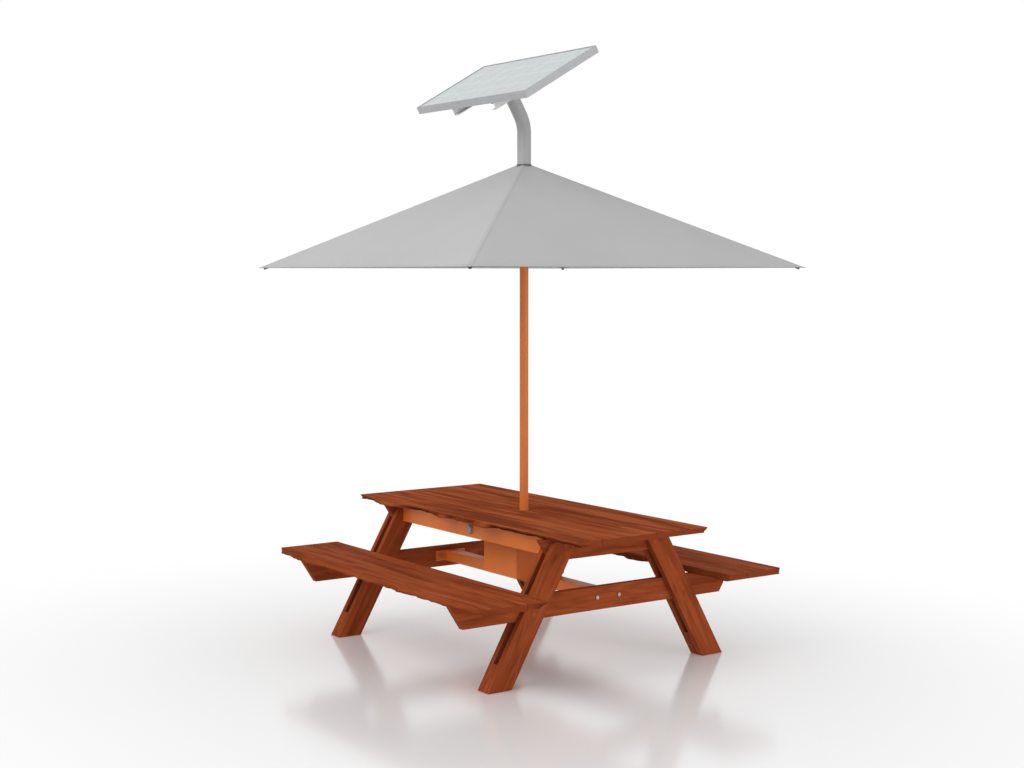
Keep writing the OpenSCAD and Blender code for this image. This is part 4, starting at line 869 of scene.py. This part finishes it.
@dataclass(frozen=True)
class WaneyPlank:
    """A plank along X with one sawn edge and one live edge, cut back unevenly below its planed corner."""

    node: str
    live: float
    sawn: float
    knots: Knots
    seed: int
    tint: float
    stock: Stock
    stations: int = 520
    face_points: int = 13
    arris: float = 0.0018
    setback: float = 0.002
    ripples: Knots = ((0.31, 0.0030), (0.193, 0.0036), (0.107, 0.0032), (0.061, 0.0019))
    bark_waves: tuple[float, ...] = (0.31, 0.17, 0.093, 0.061, 0.043)
    bark_share: float = 0.008

    def cuts(self, place: np.ndarray) -> np.ndarray:
        """Depth of the cut at the underside: smooth steps between the knots plus seeded sines.

        A smooth step is 3 t squared less 2 t cubed, and the sines fade at the plank's ends.

        Args:
            place: places along the plank, from -1 to 1.

        Returns:
            The cut inwards from the live edge, in metres; below 0 it swells outwards.
        """
        s, cut = np.array(self.knots, float).T
        i = np.clip(np.searchsorted(s, place, side="right") - 1, 0, len(s) - 2)
        t = np.clip((place - s[i]) / (s[i + 1] - s[i]), 0, 1)
        chance = np.random.default_rng(self.seed + 40)
        phases = chance.uniform(0, 2 * math.pi, len(self.ripples))
        run = 2 * math.pi * place * self.stock.length / 2
        waves = [h * np.sin(run / w + p) for (w, h), p in zip(self.ripples, phases)]
        fade = np.clip((1 - np.abs(place)) / 0.12, 0, 1)
        return (cut[i] + (cut[i + 1] - cut[i]) * t * t * (3 - 2 * t)) / 1000 + fade * sum(waves)

    def bark(self, place: np.ndarray, depth: np.ndarray) -> np.ndarray:
        """Ripples left by the bark: slanted sines with seeded phases, which fade at both corners.

        Each sine is as deep as a share of its own length, and the fade is the 0.6th power of a sine.

        Args:
            place: places along the plank, in metres, one column.
            depth: share of the thickness below the top, one row.

        Returns:
            How far the wood stands back, in metres.
        """
        chance = np.random.default_rng(self.seed)
        total = np.zeros((place.shape[0], depth.shape[1]))
        for wave in self.bark_waves:
            phase, slant = chance.uniform(0, 2 * math.pi), chance.uniform(-3, 3)
            crest = 1 + np.sin(2 * math.pi * place / wave + phase + slant * depth)
            total += wave * self.bark_share * crest
        return total * np.sin(math.pi * np.clip(depth, 0.02, 0.98)) ** 0.6

    def sections(self, place: np.ndarray, depth: np.ndarray) -> tuple[np.ndarray, np.ndarray]:
        """Sections along the plank, from the underside round the sawn edge and the top to the live face.

        The live face stands back by the setback plus the cut times a rising power: the 2.8th power of a
        sine where it is cut back, and the 1.35th power of the depth where it swells.

        Args:
            place: places along the plank, from -1 to 1.
            depth: share of the thickness below the top, one row.

        Returns:
            Distances inwards from the live edge and heights over the underside, a row for each place.
        """
        width, t, r = abs(self.live - self.sawn), self.stock.thickness, self.arris
        cut = self.cuts(place)[:, None]
        rise = np.where(cut > 0, np.sin(math.pi * depth / 2) ** 2.8, depth**1.35)
        bark = self.bark(place[:, None] * self.stock.length / 2, depth)
        face = self.setback + (cut - self.setback) * rise + bark
        face_z = np.broadcast_to(t * (1 - depth), face.shape).copy()
        face_z[:, 0] -= 0.35 * r
        face_z[:, -1] += 0.35 * r
        top_in, low_in = face[:, :1] + r, face[:, -1:] + r
        steps = np.array([0.0, 0.06, 0.2, 0.45, 0.75, 1.0])[None, :]
        bottom = low_in + (width - r - low_in) * steps
        top = (width - r) + (top_in - (width - r)) * (1 - steps[:, ::-1])
        chamfer = 0.29 * r
        flat = np.ones((len(place), 1))
        sawn = [flat * v for v in (width - chamfer, width, width, width - chamfer)]
        sawn_z = [flat * v for v in (chamfer, r, t - r, t - chamfer)]
        inward = np.concatenate([bottom, *sawn, top, face], axis=1)
        return inward, np.concatenate([0 * bottom, *sawn_z, 0 * top + t, face_z], axis=1)

    def build(self) -> bpy.types.Object:
        """Sweeps the section along the plank, eases both ends and closes them.

        Returns:
            The plank.
        """
        r = self.arris
        place = np.linspace(-1, 1, self.stations)
        depth = np.linspace(0.0, 1.0, self.face_points)[None, :]
        inward, height = self.sections(place, depth)
        along = place[:, None] * self.stock.length / 2 + TABLE_MIDDLE_X + 0 * inward
        last = len(place) - 1
        doubled = np.concatenate([[0, 1], np.arange(1, last), [last - 1, last]])
        inward, height, along = inward[doubled], height[doubled], along[doubled]
        along[1], along[-2] = along[0] + r, along[-1] - r
        for end in (0, -1):
            middle_in, middle_z = inward[end].mean(), self.stock.thickness / 2
            inward[end] += np.clip(middle_in - inward[end], -r, r) * 0.8
            height[end] += np.clip(middle_z - height[end], -r, r) * 0.8
        side = math.copysign(1, self.live - self.sawn)
        points = np.stack([along, self.live - side * inward, self.stock.bottom + height], axis=-1)
        rows, columns = inward.shape
        numbers = np.arange(rows * columns).reshape(rows, columns)
        faces = grid_faces(rows, columns).tolist() + [numbers[0].tolist(), numbers[-1, ::-1].tolist()]
        if side < 0:
            faces = [face[::-1] for face in faces]
        heart = (3.1 * self.seed, self.sawn, self.stock.bottom - 0.07)
        finish = VarnishedTimber(
            f"timber {self.node}", heart, tint=self.tint, figure=self.stock.figure, waney=True
        )
        piece = new_piece(f"{self.node}_waney", points, faces, finish.material(), 50.0)
        live = np.s_[:, -self.face_points :]
        # Where the bare wood colour with its painted shade goes: the whole live face, fading in over 16 mm
        # beside it
        wane = np.clip(1 - inward / 0.016, 0, 1) ** 2 * 0.5
        wane[live] = 1.0
        # Painted shade on the live face: stronger where it is cut back deeper, and along its lowest quarter
        hollow = np.zeros_like(inward)
        under = 0.75 * np.clip(4 * depth - 3, 0, 1)
        hollow[live] = np.maximum(np.clip((inward[live] - 0.010) / 0.030, 0, 1), under)
        store(piece, "wane", wane)
        store(piece, "hollow", hollow)
        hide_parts(self.node)
        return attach(piece, frame["nodes"][self.node]["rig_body"])


@dataclass
class Woodwork:
    """The tabletop, the four bench planks and the two trestles."""

    top: Stock = Stock(0.722, 0.028, 2.10, Figure(0.80, 0.105, 1.10, 0.001))
    bench: Stock = Stock(0.450, 0.034, 2.10, Figure(0.62, 0.075, 0.68))
    lean: float = 29.7

    def waney_planks(self) -> list[WaneyPlank]:
        """The planks with a live edge: places of both edges, the live edge's points, seed and tint."""
        top, bench = self.top, self.bench
        return [
            WaneyPlank("top_plank_1", -0.430, -0.2592, EDGE_TOP_LEFT, 1, 0.58, top),
            WaneyPlank("top_plank_5", 0.430, 0.2592, EDGE_TOP_RIGHT, 2, 0.70, top),
            WaneyPlank("left_bench_outer_plank", -0.950, -0.70975, EDGE_BENCH_OUT_LEFT, 3, 0.44, bench),
            WaneyPlank("left_bench_inner_plank", -0.580, -0.70825, EDGE_BENCH_IN_LEFT, 4, 0.36, bench),
            WaneyPlank("right_bench_inner_plank", 0.580, 0.7075, EDGE_BENCH_IN_RIGHT, 5, 0.58, bench),
            WaneyPlank("right_bench_outer_plank", 0.950, 0.7105, EDGE_BENCH_OUT_RIGHT, 6, 0.48, bench),
        ]

    def sawn_sticks(self) -> list[Stick]:
        """The other timbers, each with its own cut of the grain along its own length."""
        sticks = []
        for i in (2, 3, 4):
            centre = (9.0 + 2.3 * i, 0.17 * (i - 3), 0.64)
            sticks.append(Stick(f"top_plank_{i}", centre, (0.0, 0.0, 0.0), 0.50 + 0.06 * i, self.top.figure))
        for end, beam_seed, leg_seed in (("front", 6.7, 5.2), ("back", 4.7, 7.7)):
            for n, part in enumerate(("seat", "top")):
                sticks.append(Stick(f"{part}_beam_{end}", (beam_seed + n,) * 3, (0.0, 0.0, 90.0), 0.5))
            for side in Side:
                turn = (0.0, self.lean - 90.0, -90.0 * side.value)
                for n, part in enumerate(("outer", "inner")):
                    node = f"leg_{end}_{side.name.lower()}_{part}"
                    seed = 1.3 * n + 2.1 * side.value + leg_seed
                    tint = 0.46 + 0.05 * n + 0.06 * side.value
                    sticks.append(Stick(node, (seed, 0.4 * seed, 0.0), turn, tint))
        sticks.append(Stick("leg_spacers", (2.2, 1.1, 0.0), (0.0, -90.0, 0.0), 0.42))
        sticks.append(Stick("bolt_plugs", (0.0, 0.0, 0.0), (0.0, 90.0, 0.0), 0.7))
        return sticks

    def build(self) -> None:
        """Makes the waney planks and dresses the sawn timber."""
        for plank in self.waney_planks():
            plank.build()
            LOG.info("made %s", plank.node)
        sticks = self.sawn_sticks()
        for stick in sticks:
            stick.dress()
        LOG.info("dressed %d sawn sticks", len(sticks))


# Canopy


@dataclass
class CanopyCloth:
    """One stretched cloth over four ribs: a square pyramid whose faces hang a little between the ribs."""

    half: float = 1.070
    eave_z: float = 2.083
    apex_z: float = 2.655
    opening_r: float = 0.0406
    sag: float = 0.007
    columns_a_side: int = 72
    rows: int = 90
    cloth_t: float = 0.0012
    under_apex: float = 0.0006
    over_eave: float = 0.0004

    def build(self, finish: CoatedCloth) -> None:
        """Makes the sheet on rays from the mast.

        A ray at angle a from the middle of a side reaches the eave at half / cos a, and the rays lie closer
        together near the ribs. The height falls evenly with the level distance m from the axis towards the
        side, less the sag: the parabola of the place across the face, times four fifths of the parabola of
        the place down the slope plus one fifth of that place.

        Args:
            finish: the cloth's finish.
        """
        share = np.linspace(-1, 1, self.columns_a_side + 1)[:-1]
        across = np.sin(share * math.pi / 2) * 0.35 + share * 0.65
        a = np.arctan(across)
        ray = (np.arange(4)[:, None] * (math.pi / 2) + a[None, :]).ravel()
        cos_a = np.tile(np.cos(a), 4)
        t = np.tile(across, 4)
        grow = np.linspace(0, 1, self.rows)[:, None]
        far = self.opening_r + (self.half / cos_a - self.opening_r) * grow
        m = far * cos_a
        slope = (self.apex_z - self.eave_z) / self.half
        down = m / self.half
        hang = self.sag * (1 - t**2) * (4 * down * (1 - down) * 0.8 + 0.2 * down)
        z = np.maximum(self.apex_z - self.under_apex - m * slope - hang, self.eave_z + self.over_eave)
        points = np.stack([far * np.cos(ray), far * np.sin(ray), z], axis=-1)
        faces = grid_faces(self.rows, len(ray))[:, ::-1].tolist()
        sheet = new_piece("canopy_sheet", points, faces, finish.material(), 60.0)
        store(sheet, "ridge", m * (1 - np.abs(t)) / math.sqrt(2))
        store(sheet, "eave", (self.half - m) * math.hypot(1, slope))
        solid = sheet.modifiers.new("cloth", "SOLIDIFY")
        solid.thickness = self.cloth_t
        solid.offset = -1.0
        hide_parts("canopy")
        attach(sheet, "table")


# Steelwork


@dataclass
class SteelFrame:
    """Weld beads of the orange frame: at the rail's ends, the mast's foot and the collar's sleeve."""

    rail_half: Span = (0.035, 0.030)
    rail_corner: float = 0.004
    end_inset: float = 0.001
    rail_z: float = 0.394
    rail_end: float = 0.727
    mast_r: float = 0.02415
    foot_top: float = 0.432
    sleeve_r: float = 0.0315
    collar_top: float = 0.630

    def build(self, paint: Material) -> None:
        """Adds the beads at the rail's end plates, the mast's foot and the collar's sleeve.

        Args:
            paint: the frame's orange finish.
        """
        x, y, z = Vector((1, 0, 0)), Vector((0, 1, 0)), Vector((0, 0, 1))
        half = (self.rail_half[0] + BEAD_LIFT, self.rail_half[1] + BEAD_LIFT)
        for name, side in (("front", 1), ("back", -1)):
            centre = (TABLE_MIDDLE_X + side * (self.rail_end - self.end_inset), 0.0, self.rail_z)
            path = rounded_loop(centre, half, (y, z), self.rail_corner)
            weld_bead(f"rail_bead_{name}", path, x, 0.0026, paint, "table")
        foot = ("mast_foot_bead", self.mast_r, self.foot_top)
        collar = ("collar_bead", self.sleeve_r, self.collar_top)
        for name, radius, height in (foot, collar):
            path = circle(np.array([0.0, 0.0, height + BEAD_LIFT]), radius + BEAD_LIFT, (x, y), 120)
            weld_bead(name, path, z, 0.0024, paint, "table")
        LOG.info("made four weld beads")


@dataclass
class PanelHead:
    """The end of the bent upper pole, with the tilted panel on it."""

    end: Place = (0.0, -0.0945, 3.0245)
    tilt: float = 30.0
    pole_r: float = 0.03805

    def build(self, paint: Material) -> None:
        """Adds the weld bead under the head plate.

        Args:
            paint: the pole's finish.
        """
        x = Vector((1, 0, 0))
        normal = Vector((0, -math.sin(math.radians(self.tilt)), math.cos(math.radians(self.tilt))))
        centre = np.array(self.end) - BEAD_LIFT * np.array(normal)
        path = circle(centre, self.pole_r + BEAD_LIFT, (x, x.cross(normal)), 140)
        bead = weld_bead("head_bead", path, normal, 0.0026, paint, "table")
        LOG.info("made the head bead")


# Finishes by slot


@dataclass
class FinishRack:
    """The finishes of the CAD nodes that stay, by the record's slot."""

    made: dict[str, Material] = field(default_factory=dict)

    def fill(self, head: PanelHead) -> None:
        """Makes each slot's finish.

        Args:
            head: the panel's place, for the grid behind its glass.
        """
        bar = WornMetal(
            "satin anodised aluminium", screen(170, 171, 173), 0.56, (3.0, 260.0, 260.0),
            (head.tilt, 0.0, 0.0), head.end, metallic=0.4,
        )
        bolts = WornMetal("zinc plated fasteners", screen(162, 153, 143), 0.40, (60.0, 60.0, 600.0))
        nickel = WornMetal("nickel plate", screen(200, 198, 194), 0.22, (300.0, 300.0, 300.0))
        zinc = WornMetal("zinc plated sheet", screen(186, 188, 190), 0.40, (30.0, 30.0, 30.0), spangle=90.0)
        black = WornMetal("dark anodised aluminium", screen(62, 66, 76), 0.42, (700.0, 6.0, 700.0))
        orange = PowderCoat("orange powder coat", screen(211, 110, 35), screen(232, 146, 88), 0.40)
        dark = PowderCoat("dark grey powder coat", screen(92, 92, 94), screen(140, 140, 142), 0.45)
        light = PowderCoat("light grey powder coat", screen(160, 160, 160), screen(188, 188, 188), 0.42)
        rack = {
            Slot.FASTENER_STEEL: bolts,
            Slot.ORANGE_PAINT: orange,
            Slot.DARK_GREY_PAINT: dark,
            Slot.GREY_PAINT: light,
            Slot.BARE_ALUMINIUM: bar,
            Slot.PANEL_GLASS: PanelGlass("panel glass", head.end, head.tilt),
            Slot.BLACK_PLASTIC: Moulded("black plastic", screen(34, 34, 36), 0.5),
            Slot.BLACK_RUBBER: Moulded("black rubber", screen(26, 26, 26), 0.72, 700.0, 0.00012),
            Slot.GREY_PLASTIC: Moulded("grey plastic", screen(146, 134, 127), 0.5),
            Slot.LOCK_METAL: nickel,
            Slot.ZINC_PLATE: zinc,
            Slot.BATTERY_PLASTIC: Moulded("battery case", screen(44, 46, 52), 0.55, 500.0),
            Slot.DARK_ANODISED: black,
            Slot.RED_PLASTIC: Moulded("red plastic", screen(176, 26, 20), 0.3),
        }
        self.made = {slot.value: finish.material() for slot, finish in rack.items()}

    def dress_nodes(self) -> int:
        """Puts each slot's finish on its CAD nodes.

        Returns:
            How many nodes were dressed.
        """
        rows = [(p["node"], p["material_slot"]) for p in frame["record"]["subparts"]]
        wanted = [(node, slot) for node, slot in rows if slot in self.made]
        for node, slot in wanted:
            dress(node, self.made[slot])
        rails = Moulded("mill finish rails", screen(206, 206, 206), 0.62, 900.0, 0.00003)
        dress("panel_rails", rails.material())
        return len(wanted)


# Studio


@dataclass
class Studio:
    """White glossy floor that fades into a white background, soft light and the camera."""

    camera_at: Place = (7.2043, -5.1213, 2.0553)
    camera_turn: Place = (86.06, 0.0, 55.02)
    lens: float = 56.75
    sky: float = 0.67
    floor_half: float = 60.0
    floor_z: float = -0.0005
    fade_centre: Place = (0.5, -0.8, 0.0)
    fade: Span = (0.8, 4.3)

    def build(self) -> None:
        """Makes the whole studio."""
        self.camera()
        self.world()
        self.floor()
        self.lamp("key", (0.5, -7.8, 6.5), 6.0, 430.0)
        self.lamp("fill", (8.0, 2.4, 1.8), 4.0, 150.0)
        bpy.context.scene.view_settings.view_transform = "Standard"

    def camera(self) -> None:
        """Puts the camera at the photograph's viewing angle."""
        data = bpy.data.cameras.new("camera")
        data.lens = self.lens
        data.clip_end = 300.0
        made = bpy.data.objects.new("camera", data)
        made.location = self.camera_at
        made.rotation_euler = radians(self.camera_turn)
        bpy.context.scene.collection.objects.link(made)
        bpy.context.scene.camera = made

    def lamp(self, name: str, place: Place, size: float, power: float) -> None:
        """A square soft light that faces the table's middle.

        Args:
            name: the light's name.
            place: its place in metres.
            size: its side in metres.
            power: its power in watts.
        """
        data = bpy.data.lights.new(name, "AREA")
        data.size = size
        data.energy = power
        made = bpy.data.objects.new(name, data)
        made.location = place
        made.rotation_euler = (Vector((0, 0, 1.1)) - Vector(place)).to_track_quat("-Z", "Y").to_euler()
        bpy.context.scene.collection.objects.link(made)

    def world(self) -> None:
        """White where a ray sees it directly, in gloss or through glass, and soft light elsewhere."""
        made = bpy.data.worlds.new("studio")
        bpy.context.scene.world = made
        made.use_nodes = True
        tree = made.node_tree
        back = tree.nodes["Background"]
        path = tree.nodes.new("ShaderNodeLightPath")
        seen = path.outputs["Is Camera Ray"]
        for name in ("Is Glossy Ray", "Is Transmission Ray"):
            most = tree.nodes.new("ShaderNodeMath")
            most.operation = "MAXIMUM"
            tree.links.new(seen, most.inputs[0])
            tree.links.new(path.outputs[name], most.inputs[1])
            seen = most.outputs[0]
        level = tree.nodes.new("ShaderNodeMapRange")
        level.inputs["To Min"].default_value = self.sky
        level.inputs["To Max"].default_value = 1.0
        tree.links.new(seen, level.inputs["Value"])
        tree.links.new(level.outputs["Result"], back.inputs["Strength"])
        back.inputs["Color"].default_value = (1, 1, 1, 1)

    def floor(self) -> None:
        """A wide floor: satin white near the table, even white from a few metres on."""
        s = NodeSheet("studio floor")
        far = s.node("ShaderNodeVectorMath", operation="LENGTH")
        s.link(s.placed(self.fade_centre), far.inputs[0])
        fade = s.node("ShaderNodeMapRange", interpolation_type="SMOOTHSTEP")
        s.link(far.outputs["Value"], fade.inputs["Value"])
        fade.inputs["From Min"].default_value, fade.inputs["From Max"].default_value = self.fade
        cloud = s.noise(s.placed(), 0.8, 2.0)
        s.finish((0.84, 0.84, 0.84), s.spread(cloud, 0.0, 1.0, 0.12, 0.17), Specular_IOR_Level=0.95)
        white = s.node("ShaderNodeEmission")
        blend = s.node("ShaderNodeMixShader")
        out = s.tree.nodes["Material Output"]
        s.link(fade.outputs["Result"], blend.inputs[0])
        s.link(s.shader.outputs[0], blend.inputs[1])
        s.link(white.outputs[0], blend.inputs[2])
        s.link(blend.outputs[0], out.inputs["Surface"])
        h, z = self.floor_half, self.floor_z
        corners = np.array([[-h, -h, z], [h, -h, z], [h, h, z], [-h, h, z]])
        new_piece("floor", corners, [[0, 1, 2, 3]], s.material)


def main() -> None:
    """Builds the studio and each sub-assembly in order."""
    logging.basicConfig(level=logging.INFO, format="%(message)s")
    Studio().build()
    head = PanelHead()
    rack = FinishRack()
    rack.fill(head)
    LOG.info("dressed %d nodes", rack.dress_nodes())
    Woodwork().build()
    CanopyCloth().build(CoatedCloth("canopy cloth"))
    SteelFrame().build(rack.made[Slot.ORANGE_PAINT.value])
    head.build(rack.made[Slot.GREY_PAINT.value])


if __name__ == "__main__":
    main()
